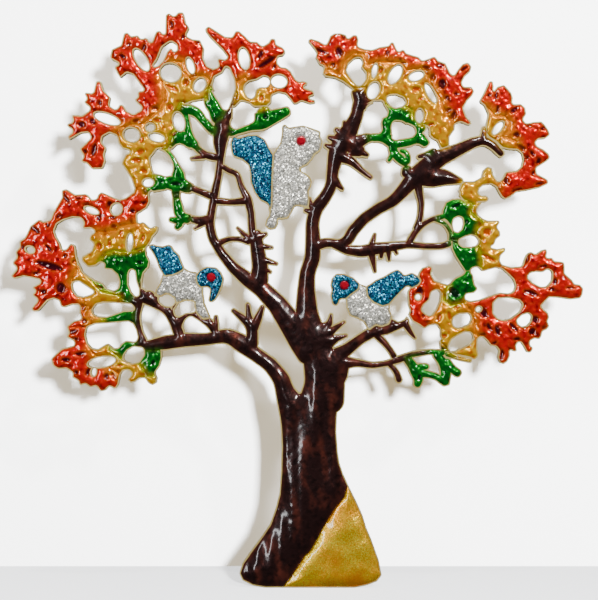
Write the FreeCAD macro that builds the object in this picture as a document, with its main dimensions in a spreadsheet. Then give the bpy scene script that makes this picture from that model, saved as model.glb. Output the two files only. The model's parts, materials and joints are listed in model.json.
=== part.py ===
import FreeCAD, Part
import Sketcher
import math
import os

# Tree of life wall plaque: an openwork metal casting whose front cells hold coloured
# lacquer and glitter, three crystal eyes, and a riveted hanger with a turning ring
# on the back.  Frame: X to the right, Z up, the front faces -Y.  The origin is the
# middle of the flat foot of the trunk, half way through the plate's thickness.

document = FreeCAD.newDocument("tree_of_life")
sheet = document.addObject("Spreadsheet::Sheet", "dimensions")
SIZES = [
    ("plate_thickness", 3.0), ("rim_width", 0.45), ("cell_depth", 0.9), ("lacquer_depth", 0.8),
    ("well_depth", 0.4), ("crown_round", 1.0), ("hole_round", 1.4), ("limb_round", 9.0),
    ("limb_root", 0.8),
    ("brown_fullness", 0.25), ("green_fullness", 0.5), ("animal_round", 1.3), ("zone_round", 0.01), ("least_cell", 0.3),
    ("crystal_radius", 1.55), ("crystal_proud", 0.1), ("crystal_crown", 0.7),
    ("crystal_table", 0.85),
    ("hanger_across", -5.4), ("hinge_height", 147.0), ("strap_width", 5.0),
    ("strap_length", 12.0), ("strap_gauge", 0.6), ("strap_top_gap", 0.5),
    ("curl_bore", 1.35), ("curl_length", 3.0),
    ("ring_bore", 4.0), ("ring_band", 1.6), ("ring_gauge", 1.2),
    ("rivet_shank", 0.8), ("rivet_sunk", 0.8), ("rivet_head", 1.3), ("rivet_head_height", 0.5),
    ("rivet_first_drop", 4.0), ("rivet_pitch", 5.0)]
for row, (name, value) in enumerate(SIZES, start=1):
    sheet.set("A%d" % row, name)
    sheet.set("B%d" % row, str(value))
    sheet.setAlias("B%d" % row, name)
document.recompute()


def size(name):
    return float(sheet.get(name))


# ---------------------------------------------------------------- crown outlines
# Each list runs once round the edge of one leaf cluster, (across, up) in mm.
CROWN_TOP_LEFT = [
    (-80.5, 153.3), (-78.4, 155.2), (-76.5, 157.2), (-77.4, 159.0), (-80.0, 158.7),
    (-84.3, 156.3), (-84.5, 157.7), (-82.4, 159.6), (-85.8, 161.8), (-82.4, 162.7),
    (-83.7, 165.3), (-79.6, 164.9), (-76.3, 167.3), (-79.1, 169.5), (-77.8, 170.8),
    (-79.2, 173.1), (-75.7, 172.7), (-74.7, 177.0), (-73.0, 177.0), (-72.1, 173.8),
    (-69.6, 171.3), (-70.1, 168.4), (-67.6, 166.8), (-66.4, 168.9), (-65.2, 168.6),
    (-64.0, 166.5), (-61.6, 165.4), (-58.2, 167.3), (-61.5, 170.4), (-60.1, 171.3),
    (-60.2, 173.5), (-57.6, 173.5), (-61.9, 179.2), (-64.0, 179.9), (-66.3, 177.9),
    (-67.1, 179.3), (-68.6, 182.1), (-66.2, 182.8), (-69.9, 184.9), (-69.3, 188.0),
    (-66.0, 189.5), (-65.0, 193.6), (-63.6, 194.0), (-62.4, 192.6), (-60.0, 193.0),
    (-59.0, 191.6), (-57.0, 192.3), (-55.5, 189.8), (-53.8, 194.2), (-52.4, 194.6),
    (-50.6, 192.8), (-50.4, 200.0), (-49.2, 200.8), (-47.4, 199.4), (-46.0, 201.0),
    (-44.1, 201.0), (-43.2, 197.2), (-42.0, 195.6), (-43.4, 192.8), (-41.0, 191.6),
    (-38.3, 191.3), (-36.9, 188.4), (-37.3, 185.0), (-35.8, 182.2), (-33.8, 181.3),
    (-31.6, 179.0), (-33.2, 174.0), (-37.0, 170.4), (-41.0, 169.7), (-44.0, 168.6),
    (-43.4, 165.0), (-43.6, 160.0), (-46.0, 157.6), (-49.6, 156.8), (-50.2, 153.6),
    (-53.4, 153.2), (-55.9, 150.0), (-55.2, 146.6), (-54.2, 143.8), (-54.6, 139.6),
    (-56.2, 137.6), (-55.9, 134.8), (-57.0, 132.6), (-60.0, 130.6), (-63.0, 134.0),
    (-61.3, 139.4), (-62.4, 142.6), (-64.0, 145.4), (-65.9, 148.2), (-64.5, 151.2),
    (-62.4, 152.4), (-65.6, 153.4), (-66.8, 155.2), (-67.5, 157.8), (-70.0, 158.9),
    (-72.4, 157.6), (-72.8, 155.6), (-71.1, 153.6), (-71.8, 151.2), (-71.4, 148.9),
    (-72.4, 146.3), (-76.2, 146.2), (-78.0, 148.2), (-80.3, 148.8), (-79.0, 150.6)]

CROWN_TOP_MID = [
    (-37.0, 194.9), (-35.4, 196.2), (-31.8, 193.9), (-29.6, 192.5), (-27.2, 192.3),
    (-26.0, 194.5), (-24.6, 194.4), (-22.6, 192.6), (-20.8, 190.8), (-18.4, 190.7),
    (-16.6, 189.1), (-14.5, 190.4), (-13.7, 191.8), (-12.0, 191.8), (-11.8, 189.8),
    (-9.5, 188.7), (-8.3, 187.2), (-9.4, 185.7), (-11.3, 185.5), (-11.3, 183.2),
    (-10.2, 181.9), (-8.4, 181.7), (-6.7, 180.5), (-5.0, 177.6), (-4.0, 176.8),
    (-1.6, 176.9), (-0.5, 176.0), (-2.6, 174.8), (-0.5, 174.1), (1.4, 173.4),
    (1.6, 172.0), (-1.0, 171.1), (1.8, 170.3), (2.0, 169.2), (0.0, 168.9),
    (-3.0, 169.9), (-4.6, 168.9), (-5.8, 168.9), (-7.0, 170.6), (-8.6, 172.4),
    (-11.0, 172.9), (-13.2, 172.0), (-13.5, 169.4), (-15.0, 168.0), (-19.6, 167.8),
    (-21.4, 169.3), (-24.0, 170.0), (-26.4, 167.6), (-28.6, 169.0), (-28.4, 177.0),
    (-31.0, 178.6), (-34.5, 177.0), (-35.4, 180.4), (-33.8, 181.3), (-31.8, 182.0),
    (-32.6, 185.2), (-29.6, 184.4), (-28.8, 185.4), (-30.6, 187.8), (-33.0, 190.2),
    (-35.0, 192.2)]
CROWN_LEFT = [
    (-59.0, 139.6), (-62.0, 138.0), (-64.4, 136.2), (-66.6, 135.6), (-69.2, 136.7),
    (-72.8, 138.3), (-73.9, 137.4), (-74.6, 135.8), (-76.2, 135.6), (-78.0, 137.6),
    (-82.0, 137.4), (-85.0, 139.3), (-86.8, 138.9), (-86.6, 136.4), (-88.0, 134.0),
    (-89.6, 131.2), (-90.6, 128.6), (-93.0, 127.9), (-94.6, 128.7), (-97.7, 126.3),
    (-98.7, 124.0), (-99.6, 122.3), (-101.5, 121.0), (-101.4, 119.0), (-102.9, 117.3),
    (-102.4, 115.4), (-104.2, 113.4), (-102.2, 111.6), (-104.6, 108.7), (-103.3, 107.8),
    (-100.0, 108.7), (-97.0, 108.1), (-93.0, 107.2), (-97.4, 104.8), (-95.5, 103.7),
    (-97.4, 102.3), (-94.8, 100.6), (-97.5, 97.4), (-96.4, 96.3), (-94.8, 96.6),
    (-91.6, 100.2), (-89.5, 100.9), (-87.6, 100.2), (-87.0, 98.2), (-85.8, 97.8),
    (-83.0, 98.8), (-80.4, 98.8), (-80.5, 96.0), (-79.6, 93.9), (-82.4, 93.3),
    (-85.0, 91.3), (-84.2, 89.0), (-85.2, 87.6), (-82.6, 86.2), (-82.2, 84.8),
    (-84.2, 84.2), (-86.6, 83.6), (-88.6, 81.8), (-90.5, 80.0), (-89.7, 77.4),
    (-87.8, 76.3), (-85.0, 76.5), (-82.8, 75.0), (-83.2, 73.5), (-80.9, 72.2),
    (-80.4, 70.5), (-78.4, 71.2), (-76.6, 69.9), (-74.6, 70.5), (-73.2, 68.5),
    (-71.4, 68.8), (-70.0, 70.5), (-68.0, 69.2), (-66.8, 71.0), (-66.2, 74.2),
    (-65.2, 75.8), (-63.4, 76.0), (-62.0, 74.8), (-63.8, 72.6), (-62.6, 71.5),
    (-61.0, 71.9), (-59.6, 73.0), (-57.6, 73.2), (-56.6, 71.6), (-55.0, 70.6),
    (-53.5, 71.5), (-53.3, 73.2), (-54.0, 75.2), (-52.4, 77.4), (-51.6, 80.2),
    (-51.8, 84.6), (-57.0, 86.6), (-59.4, 88.0), (-60.4, 92.0), (-60.6, 97.0),
    (-58.8, 101.0), (-58.6, 104.4), (-58.6, 107.6), (-58.0, 110.0), (-56.4, 111.8),
    (-55.9, 114.0), (-57.0, 116.4), (-57.2, 118.6), (-55.6, 120.6), (-54.8, 122.6),
    (-53.2, 124.4), (-52.9, 126.2), (-54.4, 126.5), (-55.6, 125.5), (-57.0, 126.8),
    (-58.2, 127.9), (-60.2, 127.2), (-60.4, 130.4), (-57.2, 132.8), (-56.0, 135.0),
    (-56.4, 138.0)]

HOLES_LEFT = [
    [(-89.3, 124.6), (-88.4, 127.0), (-86.4, 128.2), (-83.0, 129.3), (-80.0, 129.1),
     (-78.9, 127.4), (-79.7, 125.4), (-76.6, 125.5), (-74.9, 124.4), (-76.8, 123.2),
     (-77.2, 121.4), (-75.4, 120.2), (-76.4, 117.6), (-79.8, 115.6), (-79.6, 114.0),
     (-77.6, 111.9), (-74.6, 112.4), (-73.4, 113.6), (-71.6, 113.2), (-72.1, 111.3),
     (-69.4, 111.0), (-67.4, 109.3), (-66.6, 106.8), (-67.0, 104.6), (-68.6, 103.8),
     (-71.2, 104.6), (-72.4, 106.4), (-75.2, 107.5), (-79.2, 110.2), (-80.9, 113.8),
     (-81.5, 115.8), (-82.0, 119.6), (-83.6, 120.4), (-85.0, 118.4), (-86.6, 118.0),
     (-87.2, 120.2), (-88.6, 122.6)],
    [(-83.1, 106.6), (-80.8, 107.0), (-78.4, 105.4), (-75.2, 103.3), (-76.8, 102.4),
     (-79.2, 101.7), (-81.4, 102.1), (-82.7, 103.9)],
    [(-76.0, 97.0), (-74.6, 99.0), (-72.0, 99.5), (-68.0, 99.4), (-62.4, 99.0),
     (-61.2, 97.3), (-62.6, 96.9), (-65.0, 96.8), (-67.6, 95.9), (-71.0, 94.7),
     (-74.0, 94.9), (-75.6, 95.6)],
    [(-78.4, 88.4), (-77.8, 90.9), (-75.2, 92.0), (-71.0, 92.3), (-67.0, 92.6),
     (-63.4, 92.9), (-61.9, 92.2), (-60.8, 90.0), (-60.2, 87.4), (-61.0, 85.9),
     (-64.4, 86.4), (-65.9, 85.2), (-66.8, 83.9), (-68.4, 83.6), (-70.7, 85.5),
     (-72.2, 84.6), (-74.2, 83.4), (-76.2, 83.8), (-77.7, 85.5)],
    [(-61.6, 84.1), (-58.2, 83.7), (-58.0, 81.4), (-59.6, 79.1), (-62.2, 78.3),
     (-64.6, 79.3), (-65.2, 80.8), (-63.8, 82.8)],
    [(-62.8, 111.1), (-61.2, 110.8), (-60.8, 107.2), (-59.8, 104.4), (-59.8, 102.2),
     (-61.0, 101.8), (-62.4, 103.4), (-63.4, 106.0), (-63.4, 109.2)]]

HOLES_TOP_LEFT = [
    [(-55.0, 182.0), (-53.4, 184.4), (-51.6, 188.8), (-48.6, 190.9), (-46.6, 189.6),
     (-46.4, 187.8), (-47.4, 187.2), (-48.6, 188.8), (-49.9, 187.2), (-51.4, 184.0),
     (-53.2, 182.2)],
    [(-34.0, 175.6), (-32.4, 171.0), (-30.2, 167.2), (-28.8, 167.0), (-27.4, 170.6),
     (-26.2, 174.4), (-26.6, 177.6), (-28.2, 181.4), (-29.4, 182.0), (-30.6, 179.8),
     (-33.4, 178.4)],
    [(-22.9, 173.8), (-21.8, 171.4), (-20.4, 170.8), (-19.3, 171.9), (-19.0, 174.0),
     (-17.4, 174.9), (-15.2, 174.8), (-14.0, 176.2), (-14.4, 178.2), (-16.2, 178.7),
     (-18.6, 177.3), (-21.2, 176.8), (-22.6, 175.6)]]

OVALS_LEFT = [
    (-58.9, 184.4, 8.6, 3.4, -58), (-70.9, 163.9, 9.4, 3.2, -20),
    (-62.3, 158.2, 5.6, 4.6, -20), (-41.8, 182.4, 5.6, 2.2, -72),
    (-48.7, 179.9, 7.2, 6.2, -20), (-38.5, 175.6, 4.9, 3.7, 60),
    (-45.8, 162.8, 6.6, 3.7, -75), (-55.8, 160.8, 3.0, 2.6, 0),
    (-53.6, 157.3, 5.4, 2.6, -14), (-51.4, 148.3, 9.6, 6.0, -62),
    (-56.5, 141.5, 3.6, 2.6, 0), (-23.0, 184.8, 7.4, 3.4, -80),
    (-10.8, 176.9, 5.4, 4.4, -8), (-72.8, 78.8, 9.6, 3.4, 10),
    (-75.5, 75.4, 2.8, 1.6, 80), (-97.8, 118.1, 3.0, 2.0, -20),
    (-76.3, 131.8, 5.0, 1.8, -22), (-67.6, 132.2, 4.0, 3.6, 60),
    (-63.0, 120.6, 6.0, 1.9, 85), (-36.2, 165.8, 4.6, 1.2, -65)]

WELLS_RED_LEFT = [
    (-75.8, 162.8, 2.8, 2.2, -40), (-79.7, 161.7, 2.8, 2.4, 0), (-75.4, 152.8, 4.8, 2.0, 75),
    (-78.6, 152.3, 1.8, 1.6, 0), (-73.3, 169.2, 2.2, 1.7, 80), (-60.7, 163.0, 2.8, 1.8, 10),
    (-65.5, 185.5, 2.8, 1.7, -20), (-63.2, 189.6, 2.2, 1.5, 60), (-58.0, 188.6, 2.8, 1.6, 70),
    (-54.0, 167.3, 2.6, 2.1, 0), (-59.0, 166.8, 2.8, 1.7, -20), (-53.1, 184.2, 2.6, 1.6, 55),
    (-44.2, 192.4, 2.4, 1.5, 60), (-42.2, 185.4, 2.6, 3.0, 0), (-40.6, 178.8, 1.8, 2.6, -70),
    (-39.2, 190.6, 1.6, 2.0, 0), (-17.2, 186.2, 3.4, 2.0, 60), (-15.2, 183.4, 8.0, 2.0, 32),
    (-12.4, 182.0, 2.2, 1.4, 60), (-31.0, 181.0, 1.8, 2.6, 30), (-48.3, 196.6, 1.5, 3.0, 10),
    (-85.3, 79.6, 3.2, 1.8, 0), (-80.2, 81.7, 4.2, 1.7, 10), (-81.6, 75.2, 1.8, 1.6, 0),
    (-71.0, 73.8, 2.4, 1.8, 80), (-68.6, 74.0, 3.4, 1.5, -65), (-77.4, 75.4, 3.2, 1.8, 70),
    (-82.0, 86.9, 2.0, 1.3, 0), (-82.6, 89.4, 3.6, 1.8, 20), (-78.8, 93.0, 2.4, 2.0, 20),
    (-79.0, 98.0, 2.0, 3.0, 0), (-86.9, 104.6, 3.6, 4.0, 10), (-93.0, 103.3, 2.4, 2.0, 0),
    (-95.6, 109.8, 2.6, 1.3, 0), (-91.0, 112.4, 10.0, 2.8, -16), (-91.3, 118.5, 3.8, 1.6, -50),
    (-96.0, 125.0, 4.2, 1.8, -42), (-91.6, 126.6, 2.0, 1.8, 0), (-100.3, 118.8, 1.7, 1.9, 0),
    (-82.1, 113.9, 2.2, 2.0, 0), (-85.6, 115.8, 2.2, 1.4, 70), (-85.0, 135.6, 3.2, 1.6, -50),
    (-81.0, 136.2, 3.6, 1.3, -5), (-88.0, 129.6, 2.6, 1.3, 50), (-73.9, 129.0, 2.8, 1.8, -70),
    (-77.4, 133.6, 3.8, 1.1, -10), (-69.9, 134.0, 2.2, 2.4, 0), (-69.0, 129.2, 3.0, 1.4, 10),
    (-62.0, 131.5, 2.2, 2.0, 0), (-68.5, 126.1, 2.4, 1.7, 0), (-58.0, 134.4, 2.6, 1.4, 40)]

WELLS_AMBER_LEFT = [
    (-48.2, 174.6, 5.6, 1.9, -30), (-43.2, 176.4, 2.4, 2.8, 0), (-48.9, 167.8, 2.8, 2.8, 0),
    (-53.2, 163.3, 3.2, 1.8, -10), (-58.9, 156.5, 2.4, 2.8, 0), (-59.3, 152.2, 3.2, 2.2, 20),
    (-60.6, 149.3, 3.6, 2.2, 0), (-58.0, 145.6, 3.0, 2.0, -15), (-61.8, 142.6, 2.2, 1.1, 80),
    (-17.0, 171.0, 2.6, 1.8, 80), (-66.0, 123.8, 2.6, 1.7, 80), (-70.0, 120.3, 3.2, 1.6, 85),
    (-73.7, 119.3, 3.0, 2.3, 80), (-58.4, 121.9, 3.0, 1.7, 75), (-76.8, 116.3, 1.8, 1.3, 0),
    (-66.4, 77.6, 2.2, 1.4, 0)]
CROWN_TOP_RIGHT = [
    (-0.9, 191.0), (0.2, 191.9), (3.0, 191.0), (5.6, 189.6), (6.3, 191.0), (7.0, 192.7),
    (8.4, 193.6), (10.6, 193.7), (12.6, 193.1), (13.2, 191.7), (15.2, 193.1),
    (16.5, 193.0), (17.0, 191.4), (16.7, 189.1), (19.0, 188.2), (21.6, 187.9),
    (24.4, 188.9), (27.4, 189.3), (28.3, 190.6), (29.3, 190.4), (30.1, 188.5),
    (30.8, 187.2), (32.7, 188.2), (33.7, 186.7), (35.6, 186.1), (38.0, 185.4),
    (39.2, 184.1), (41.6, 184.9), (43.6, 185.7), (44.8, 184.1), (47.4, 183.2),
    (49.0, 179.9), (50.2, 178.9), (51.6, 181.0), (53.2, 182.9), (55.2, 183.6),
    (56.5, 182.0), (56.0, 180.2), (54.2, 178.6), (53.1, 176.4), (53.6, 175.0),
    (56.4, 175.0), (57.5, 173.4), (56.7, 171.8), (55.0, 170.0), (53.6, 167.6),
    (54.6, 164.6), (56.8, 162.0), (55.2, 161.5), (52.8, 162.6), (50.6, 161.8),
    (50.6, 160.0), (48.8, 157.4), (48.8, 154.0), (45.6, 153.0), (44.4, 156.0),
    (42.9, 156.7), (41.6, 158.0), (41.4, 160.8), (38.6, 161.9), (36.4, 163.6),
    (34.6, 165.4), (30.0, 165.2), (26.4, 166.0), (25.4, 170.0), (21.4, 170.0), (18.0, 170.6),
    (14.6, 174.2), (11.5, 176.6), (8.6, 177.9), (5.4, 178.4), (4.3, 179.6),
    (4.9, 182.0), (3.3, 182.7), (1.9, 185.2), (2.3, 186.8), (1.4, 188.2)]

CROWN_RIGHT = [
    (62.6, 177.0), (63.9, 176.9), (64.2, 175.0), (64.0, 173.2), (65.4, 175.0),
    (67.8, 175.7), (69.0, 174.4), (70.4, 172.7), (70.9, 171.0), (70.6, 168.9),
    (73.6, 169.0), (75.2, 167.7), (75.6, 165.4), (74.4, 163.6), (75.4, 162.2),
    (78.0, 162.7), (80.9, 162.9), (82.2, 161.5), (83.2, 160.0), (84.0, 158.2),
    (82.2, 156.8), (79.8, 156.6), (78.7, 155.4), (79.4, 154.3), (81.6, 153.1),
    (83.4, 151.6), (84.0, 150.1), (82.6, 148.8), (80.4, 147.4), (79.0, 146.6),
    (79.3, 144.6), (81.2, 143.6), (83.1, 142.5), (83.3, 141.1), (80.4, 139.7),
    (76.0, 138.7), (72.2, 138.1), (70.0, 136.4), (68.2, 135.5), (66.9, 136.4),
    (65.8, 138.2), (64.9, 139.9), (63.2, 140.9), (60.6, 140.5), (59.2, 139.4),
    (58.9, 138.0), (59.6, 137.0), (61.6, 137.0), (62.6, 135.8), (61.8, 134.7),
    (58.6, 134.6), (57.0, 132.6), (54.6, 133.6), (51.6, 137.6), (52.6, 141.0), (53.6, 142.0),
    (57.2, 142.0), (59.8, 143.4), (60.4, 145.8), (62.0, 147.3), (63.6, 146.5),
    (64.0, 144.4), (65.6, 141.8), (67.0, 142.6), (68.4, 145.3), (72.2, 145.7),
    (73.8, 147.2), (74.3, 149.5), (73.9, 151.6), (72.4, 152.8), (69.2, 153.0),
    (67.0, 153.6), (65.0, 155.6), (62.2, 157.4), (61.2, 159.0), (61.6, 162.6), (62.2, 165.4),
    (60.8, 168.4), (59.0, 169.8), (60.6, 172.6)]

HOLES_RIGHT_TOP = [
    [(12.7, 180.4), (13.6, 182.9), (15.6, 184.7), (17.6, 185.1), (18.4, 183.4),
     (17.7, 181.9), (19.5, 179.7), (19.4, 177.7), (18.4, 176.1), (16.8, 175.2),
     (15.0, 177.2)],
    [(26.8, 170.4), (27.5, 171.9), (30.0, 172.1), (32.6, 171.1), (33.6, 169.5),
     (32.2, 168.2), (29.6, 167.6), (28.0, 168.6)],
    [(28.7, 157.2), (29.5, 159.5), (31.4, 161.4), (34.0, 162.0), (36.4, 160.9),
     (37.0, 159.1), (35.8, 157.6), (32.0, 156.8), (29.6, 156.5)]]

OVALS_RIGHT_TOP = [
    (22.2, 173.7, 6.0, 3.7, 68), (29.8, 179.3, 7.2, 3.5, 60), (37.2, 178.8, 5.2, 2.9, 22),
    (42.2, 172.8, 7.2, 2.3, -62), (38.3, 164.9, 4.6, 2.4, 85), (65.7, 160.6, 5.4, 2.1, 50),
    (22.6, 180.6, 4.8, 1.5, 78)]

WELLS_RED_RIGHT = [
    (10.2, 187.0, 3.8, 2.8, -70), (4.2, 187.2, 5.4, 1.6, -25), (8.1, 182.4, 2.2, 2.0, 0),
    (4.0, 184.1, 1.9, 1.4, -60), (12.0, 192.2, 2.0, 1.6, 0), (26.8, 186.6, 3.0, 1.2, 80),
    (32.0, 183.2, 3.4, 1.2, -10), (40.6, 181.5, 3.4, 1.9, -20), (42.7, 178.0, 2.4, 2.0, 0),
    (46.1, 175.8, 4.0, 3.1, 80), (45.6, 182.4, 2.8, 2.2, 0), (47.8, 170.9, 2.1, 2.0, 0),
    (48.2, 166.6, 3.0, 2.0, 10), (50.1, 164.9, 3.4, 2.4, 70), (53.8, 181.3, 3.8, 1.4, 32),
    (51.0, 172.3, 1.8, 1.6, 0), (54.6, 173.9, 2.4, 1.1, -15), (65.5, 166.8, 2.8, 1.6, 80),
    (71.3, 166.8, 3.6, 2.0, 42), (65.0, 171.9, 3.2, 1.4, 80), (62.6, 172.0, 2.0, 1.4, 60),
    (76.3, 161.7, 2.2, 1.3, -30), (81.4, 160.4, 2.8, 1.4, 25), (72.0, 158.0, 2.6, 2.4, 0),
    (73.7, 153.7, 3.4, 2.0, -30), (77.6, 151.6, 2.8, 1.5, -60), (79.8, 149.0, 2.6, 1.8, 60),
    (80.2, 141.2, 3.2, 1.2, 15), (72.2, 138.9, 4.2, 1.2, 20), (78.0, 144.8, 2.2, 1.4, 70),
    (68.3, 142.0, 2.8, 2.3, 70)]

WELLS_AMBER_RIGHT = [
    (37.2, 174.1, 3.4, 2.1, 0), (38.6, 170.7, 2.2, 1.5, 0), (24.6, 180.6, 2.4, 1.8, 70),
    (18.3, 183.0, 1.8, 1.2, -50), (42.2, 161.6, 3.0, 1.7, 20), (65.2, 157.2, 2.0, 1.2, 30)]
CROWN_LOW_RIGHT = [
    (57.6, 135.0), (60.4, 134.8), (58.9, 133.0), (58.3, 131.6), (58.9, 130.2),
    (60.4, 129.0), (62.0, 128.3), (65.9, 128.3), (66.4, 127.6), (65.3, 126.0),
    (66.4, 124.4), (66.6, 122.9), (65.0, 121.6), (64.4, 119.9), (62.8, 118.9),
    (65.4, 118.4), (68.3, 118.9), (68.2, 117.5), (66.7, 116.0), (66.3, 114.4),
    (67.2, 112.9), (70.4, 112.0), (74.1, 112.4), (74.8, 114.6), (75.6, 116.4),
    (77.0, 117.5), (78.8, 116.5), (81.0, 118.0), (82.6, 118.5), (82.9, 117.0),
    (82.4, 115.2), (84.6, 115.4), (85.3, 114.2), (87.2, 114.0), (88.8, 113.8),
    (89.0, 112.0), (89.0, 109.8), (91.6, 107.5), (92.4, 106.2), (94.4, 105.9),
    (95.5, 104.5), (95.2, 102.4), (94.4, 101.0), (91.0, 100.6), (87.0, 101.2),
    (83.6, 101.4), (82.2, 100.0), (80.6, 98.3), (81.8, 97.2), (83.2, 96.0),
    (83.6, 94.6), (83.0, 93.0), (83.7, 91.3), (82.6, 90.1), (81.2, 89.5),
    (80.9, 88.0), (80.2, 86.7), (78.4, 87.0), (76.9, 86.2), (76.9, 84.8),
    (78.1, 83.7), (77.2, 82.2), (75.8, 82.0), (74.6, 84.2), (73.6, 85.7),
    (72.6, 85.6), (72.0, 84.4), (72.4, 82.7), (71.4, 82.3), (69.8, 83.3),
    (69.9, 81.0), (69.0, 79.0), (67.6, 78.0), (66.2, 78.5), (65.5, 80.6),
    (66.0, 82.8), (65.0, 84.1), (63.0, 84.6), (61.8, 86.2), (60.4, 87.5),
    (58.6, 87.2), (58.5, 83.4), (59.0, 81.0), (57.6, 79.5), (55.4, 80.4),
    (50.8, 81.3), (48.0, 82.2), (46.0, 82.4), (46.5, 85.4), (45.4, 87.9),
    (45.4, 90.0), (44.3, 91.8), (42.8, 91.8), (41.4, 91.4), (40.0, 90.3),
    (38.2, 91.7), (35.8, 93.0), (34.3, 95.3), (34.9, 96.8), (34.3, 98.6),
    (34.1, 103.6), (35.4, 105.4), (37.4, 107.4), (38.0, 110.1), (39.2, 111.8),
    (41.4, 112.5), (42.9, 112.0), (42.4, 109.4), (43.6, 107.4), (46.4, 106.4),
    (48.4, 105.9), (50.6, 108.2), (53.2, 109.5), (54.1, 110.4), (52.3, 113.1),
    (50.7, 115.6), (49.4, 118.4), (49.2, 121.0), (49.6, 123.4), (49.1, 126.2),
    (47.6, 128.0), (45.8, 129.2), (46.2, 132.0), (47.4, 134.8), (50.4, 136.2),
    (53.0, 136.0), (55.6, 134.6)]

HOLES_LOW_RIGHT = [
    [(56.7, 111.6), (58.6, 112.1), (60.2, 110.3), (62.4, 111.0), (65.0, 111.7),
     (67.2, 111.2), (69.2, 109.4), (71.0, 107.6), (71.7, 105.4), (71.1, 103.5),
     (69.4, 102.9), (66.4, 103.1), (62.6, 101.9), (59.2, 100.7), (56.2, 100.2),
     (54.2, 100.8), (54.4, 102.5), (57.4, 102.9), (58.8, 104.4), (57.6, 105.9),
     (57.2, 107.6), (57.0, 109.4), (56.0, 110.4)],
    [(64.1, 99.4), (65.6, 101.0), (69.6, 101.2), (73.1, 100.3), (74.4, 98.9),
     (73.0, 96.3), (70.2, 94.2), (67.8, 93.5), (65.5, 94.1), (64.1, 96.0)],
    [(75.9, 108.4), (77.0, 109.9), (79.2, 110.3), (81.4, 110.1), (83.0, 111.3),
     (84.6, 110.4), (84.4, 107.4), (82.8, 105.3), (80.5, 105.2), (77.6, 106.7)],
    [(72.2, 93.4), (74.0, 95.1), (76.2, 95.9), (77.4, 95.0), (77.0, 93.0),
     (75.8, 91.6), (74.0, 91.2), (72.8, 92.1)],
    [(52.0, 121.4), (54.0, 122.4), (56.2, 123.1), (57.9, 122.6), (59.0, 121.0),
     (58.2, 119.7), (56.0, 119.1), (53.4, 119.2), (52.2, 120.1)],
    [(50.2, 128.8), (52.0, 129.6), (53.3, 129.0), (53.5, 127.2), (53.0, 125.3),
     (51.5, 124.1), (50.3, 124.8), (49.9, 127.0)],
    [(48.4, 84.2), (49.6, 86.7), (51.6, 88.0), (54.2, 89.3), (56.4, 89.0),
     (57.0, 87.0), (55.8, 85.2), (53.0, 83.8), (50.4, 82.7), (49.0, 82.7)],
    [(50.2, 94.3), (52.0, 95.5), (55.6, 95.8), (56.3, 94.0), (55.4, 92.2),
     (52.6, 90.9), (50.6, 91.0), (49.8, 92.6)],
    [(42.4, 103.3), (44.5, 104.1), (45.6, 103.0), (45.2, 100.0), (44.0, 97.3),
     (42.3, 95.0), (40.7, 95.5), (38.9, 97.1), (39.9, 98.8), (41.8, 100.4)]]

OVALS_LOW_RIGHT = [(58.9, 97.3, 1.9, 1.5, 30), (37.8, 101.5, 1.8, 1.7, 0)]

WELLS_RED_LOW = [
    (77.2, 102.9, 5.6, 1.8, -20), (84.4, 104.2, 2.8, 1.6, -10), (85.4, 107.0, 2.2, 2.4, 0),
    (91.0, 104.7, 3.2, 1.1, 0), (81.4, 112.2, 3.4, 1.2, 10), (75.7, 114.4, 3.2, 1.4, 65),
    (60.4, 96.0, 4.4, 3.0, -50), (62.5, 91.1, 3.2, 1.7, -65), (65.5, 89.8, 3.8, 2.1, -75),
    (71.2, 90.9, 4.8, 1.7, -45), (78.7, 93.6, 2.6, 2.8, 0), (77.6, 89.5, 3.0, 2.6, 60),
    (75.2, 90.9, 2.2, 1.0, 10), (72.3, 86.9, 2.6, 1.5, 0), (64.4, 85.5, 2.2, 1.3, 30),
    (67.0, 81.4, 4.0, 1.7, 85), (60.0, 88.4, 2.4, 1.1, 0), (81.8, 90.8, 1.9, 1.2, 20),
    (38.1, 102.8, 5.2, 2.9, 80), (39.6, 95.0, 2.0, 1.2, -60), (43.0, 108.9, 2.2, 1.2, -60)]

WELLS_AMBER_LOW = [
    (61.9, 124.2, 3.4, 3.1, 0), (62.4, 115.2, 5.8, 1.8, -27), (45.1, 94.3, 3.4, 2.0, 70),
    (48.7, 95.0, 3.6, 1.6, -75), (46.8, 88.0, 2.4, 1.8, 0), (51.2, 98.0, 2.6, 1.4, 10),
    (55.2, 84.2, 3.2, 1.3, 25), (56.9, 80.7, 1.8, 1.2, 20)]

WELLS_GREEN = [
    (50.3, 103.0, 4.8, 3.4, -45), (51.0, 133.4, 4.0, 1.6, 25), (54.6, 127.6, 2.4, 1.6, 70),
    (40.0, 158.6, 2.0, 2.2, 0), (-46.8, 141.0, 4.2, 1.8, 0), (-15.6, 164.3, 2.2, 1.8, 0),
    (-59.4, 113.6, 2.6, 2.0, 0), (-47.4, 158.4, 2.2, 1.6, 60), (-73.0, 105.0, 2.2, 1.4, -30),
    (-54.8, 78.6, 2.6, 1.7, 70), (38.2, 73.4, 2.6, 1.6, 80), (54.4, 107.2, 1.8, 1.2, 0)]

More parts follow.
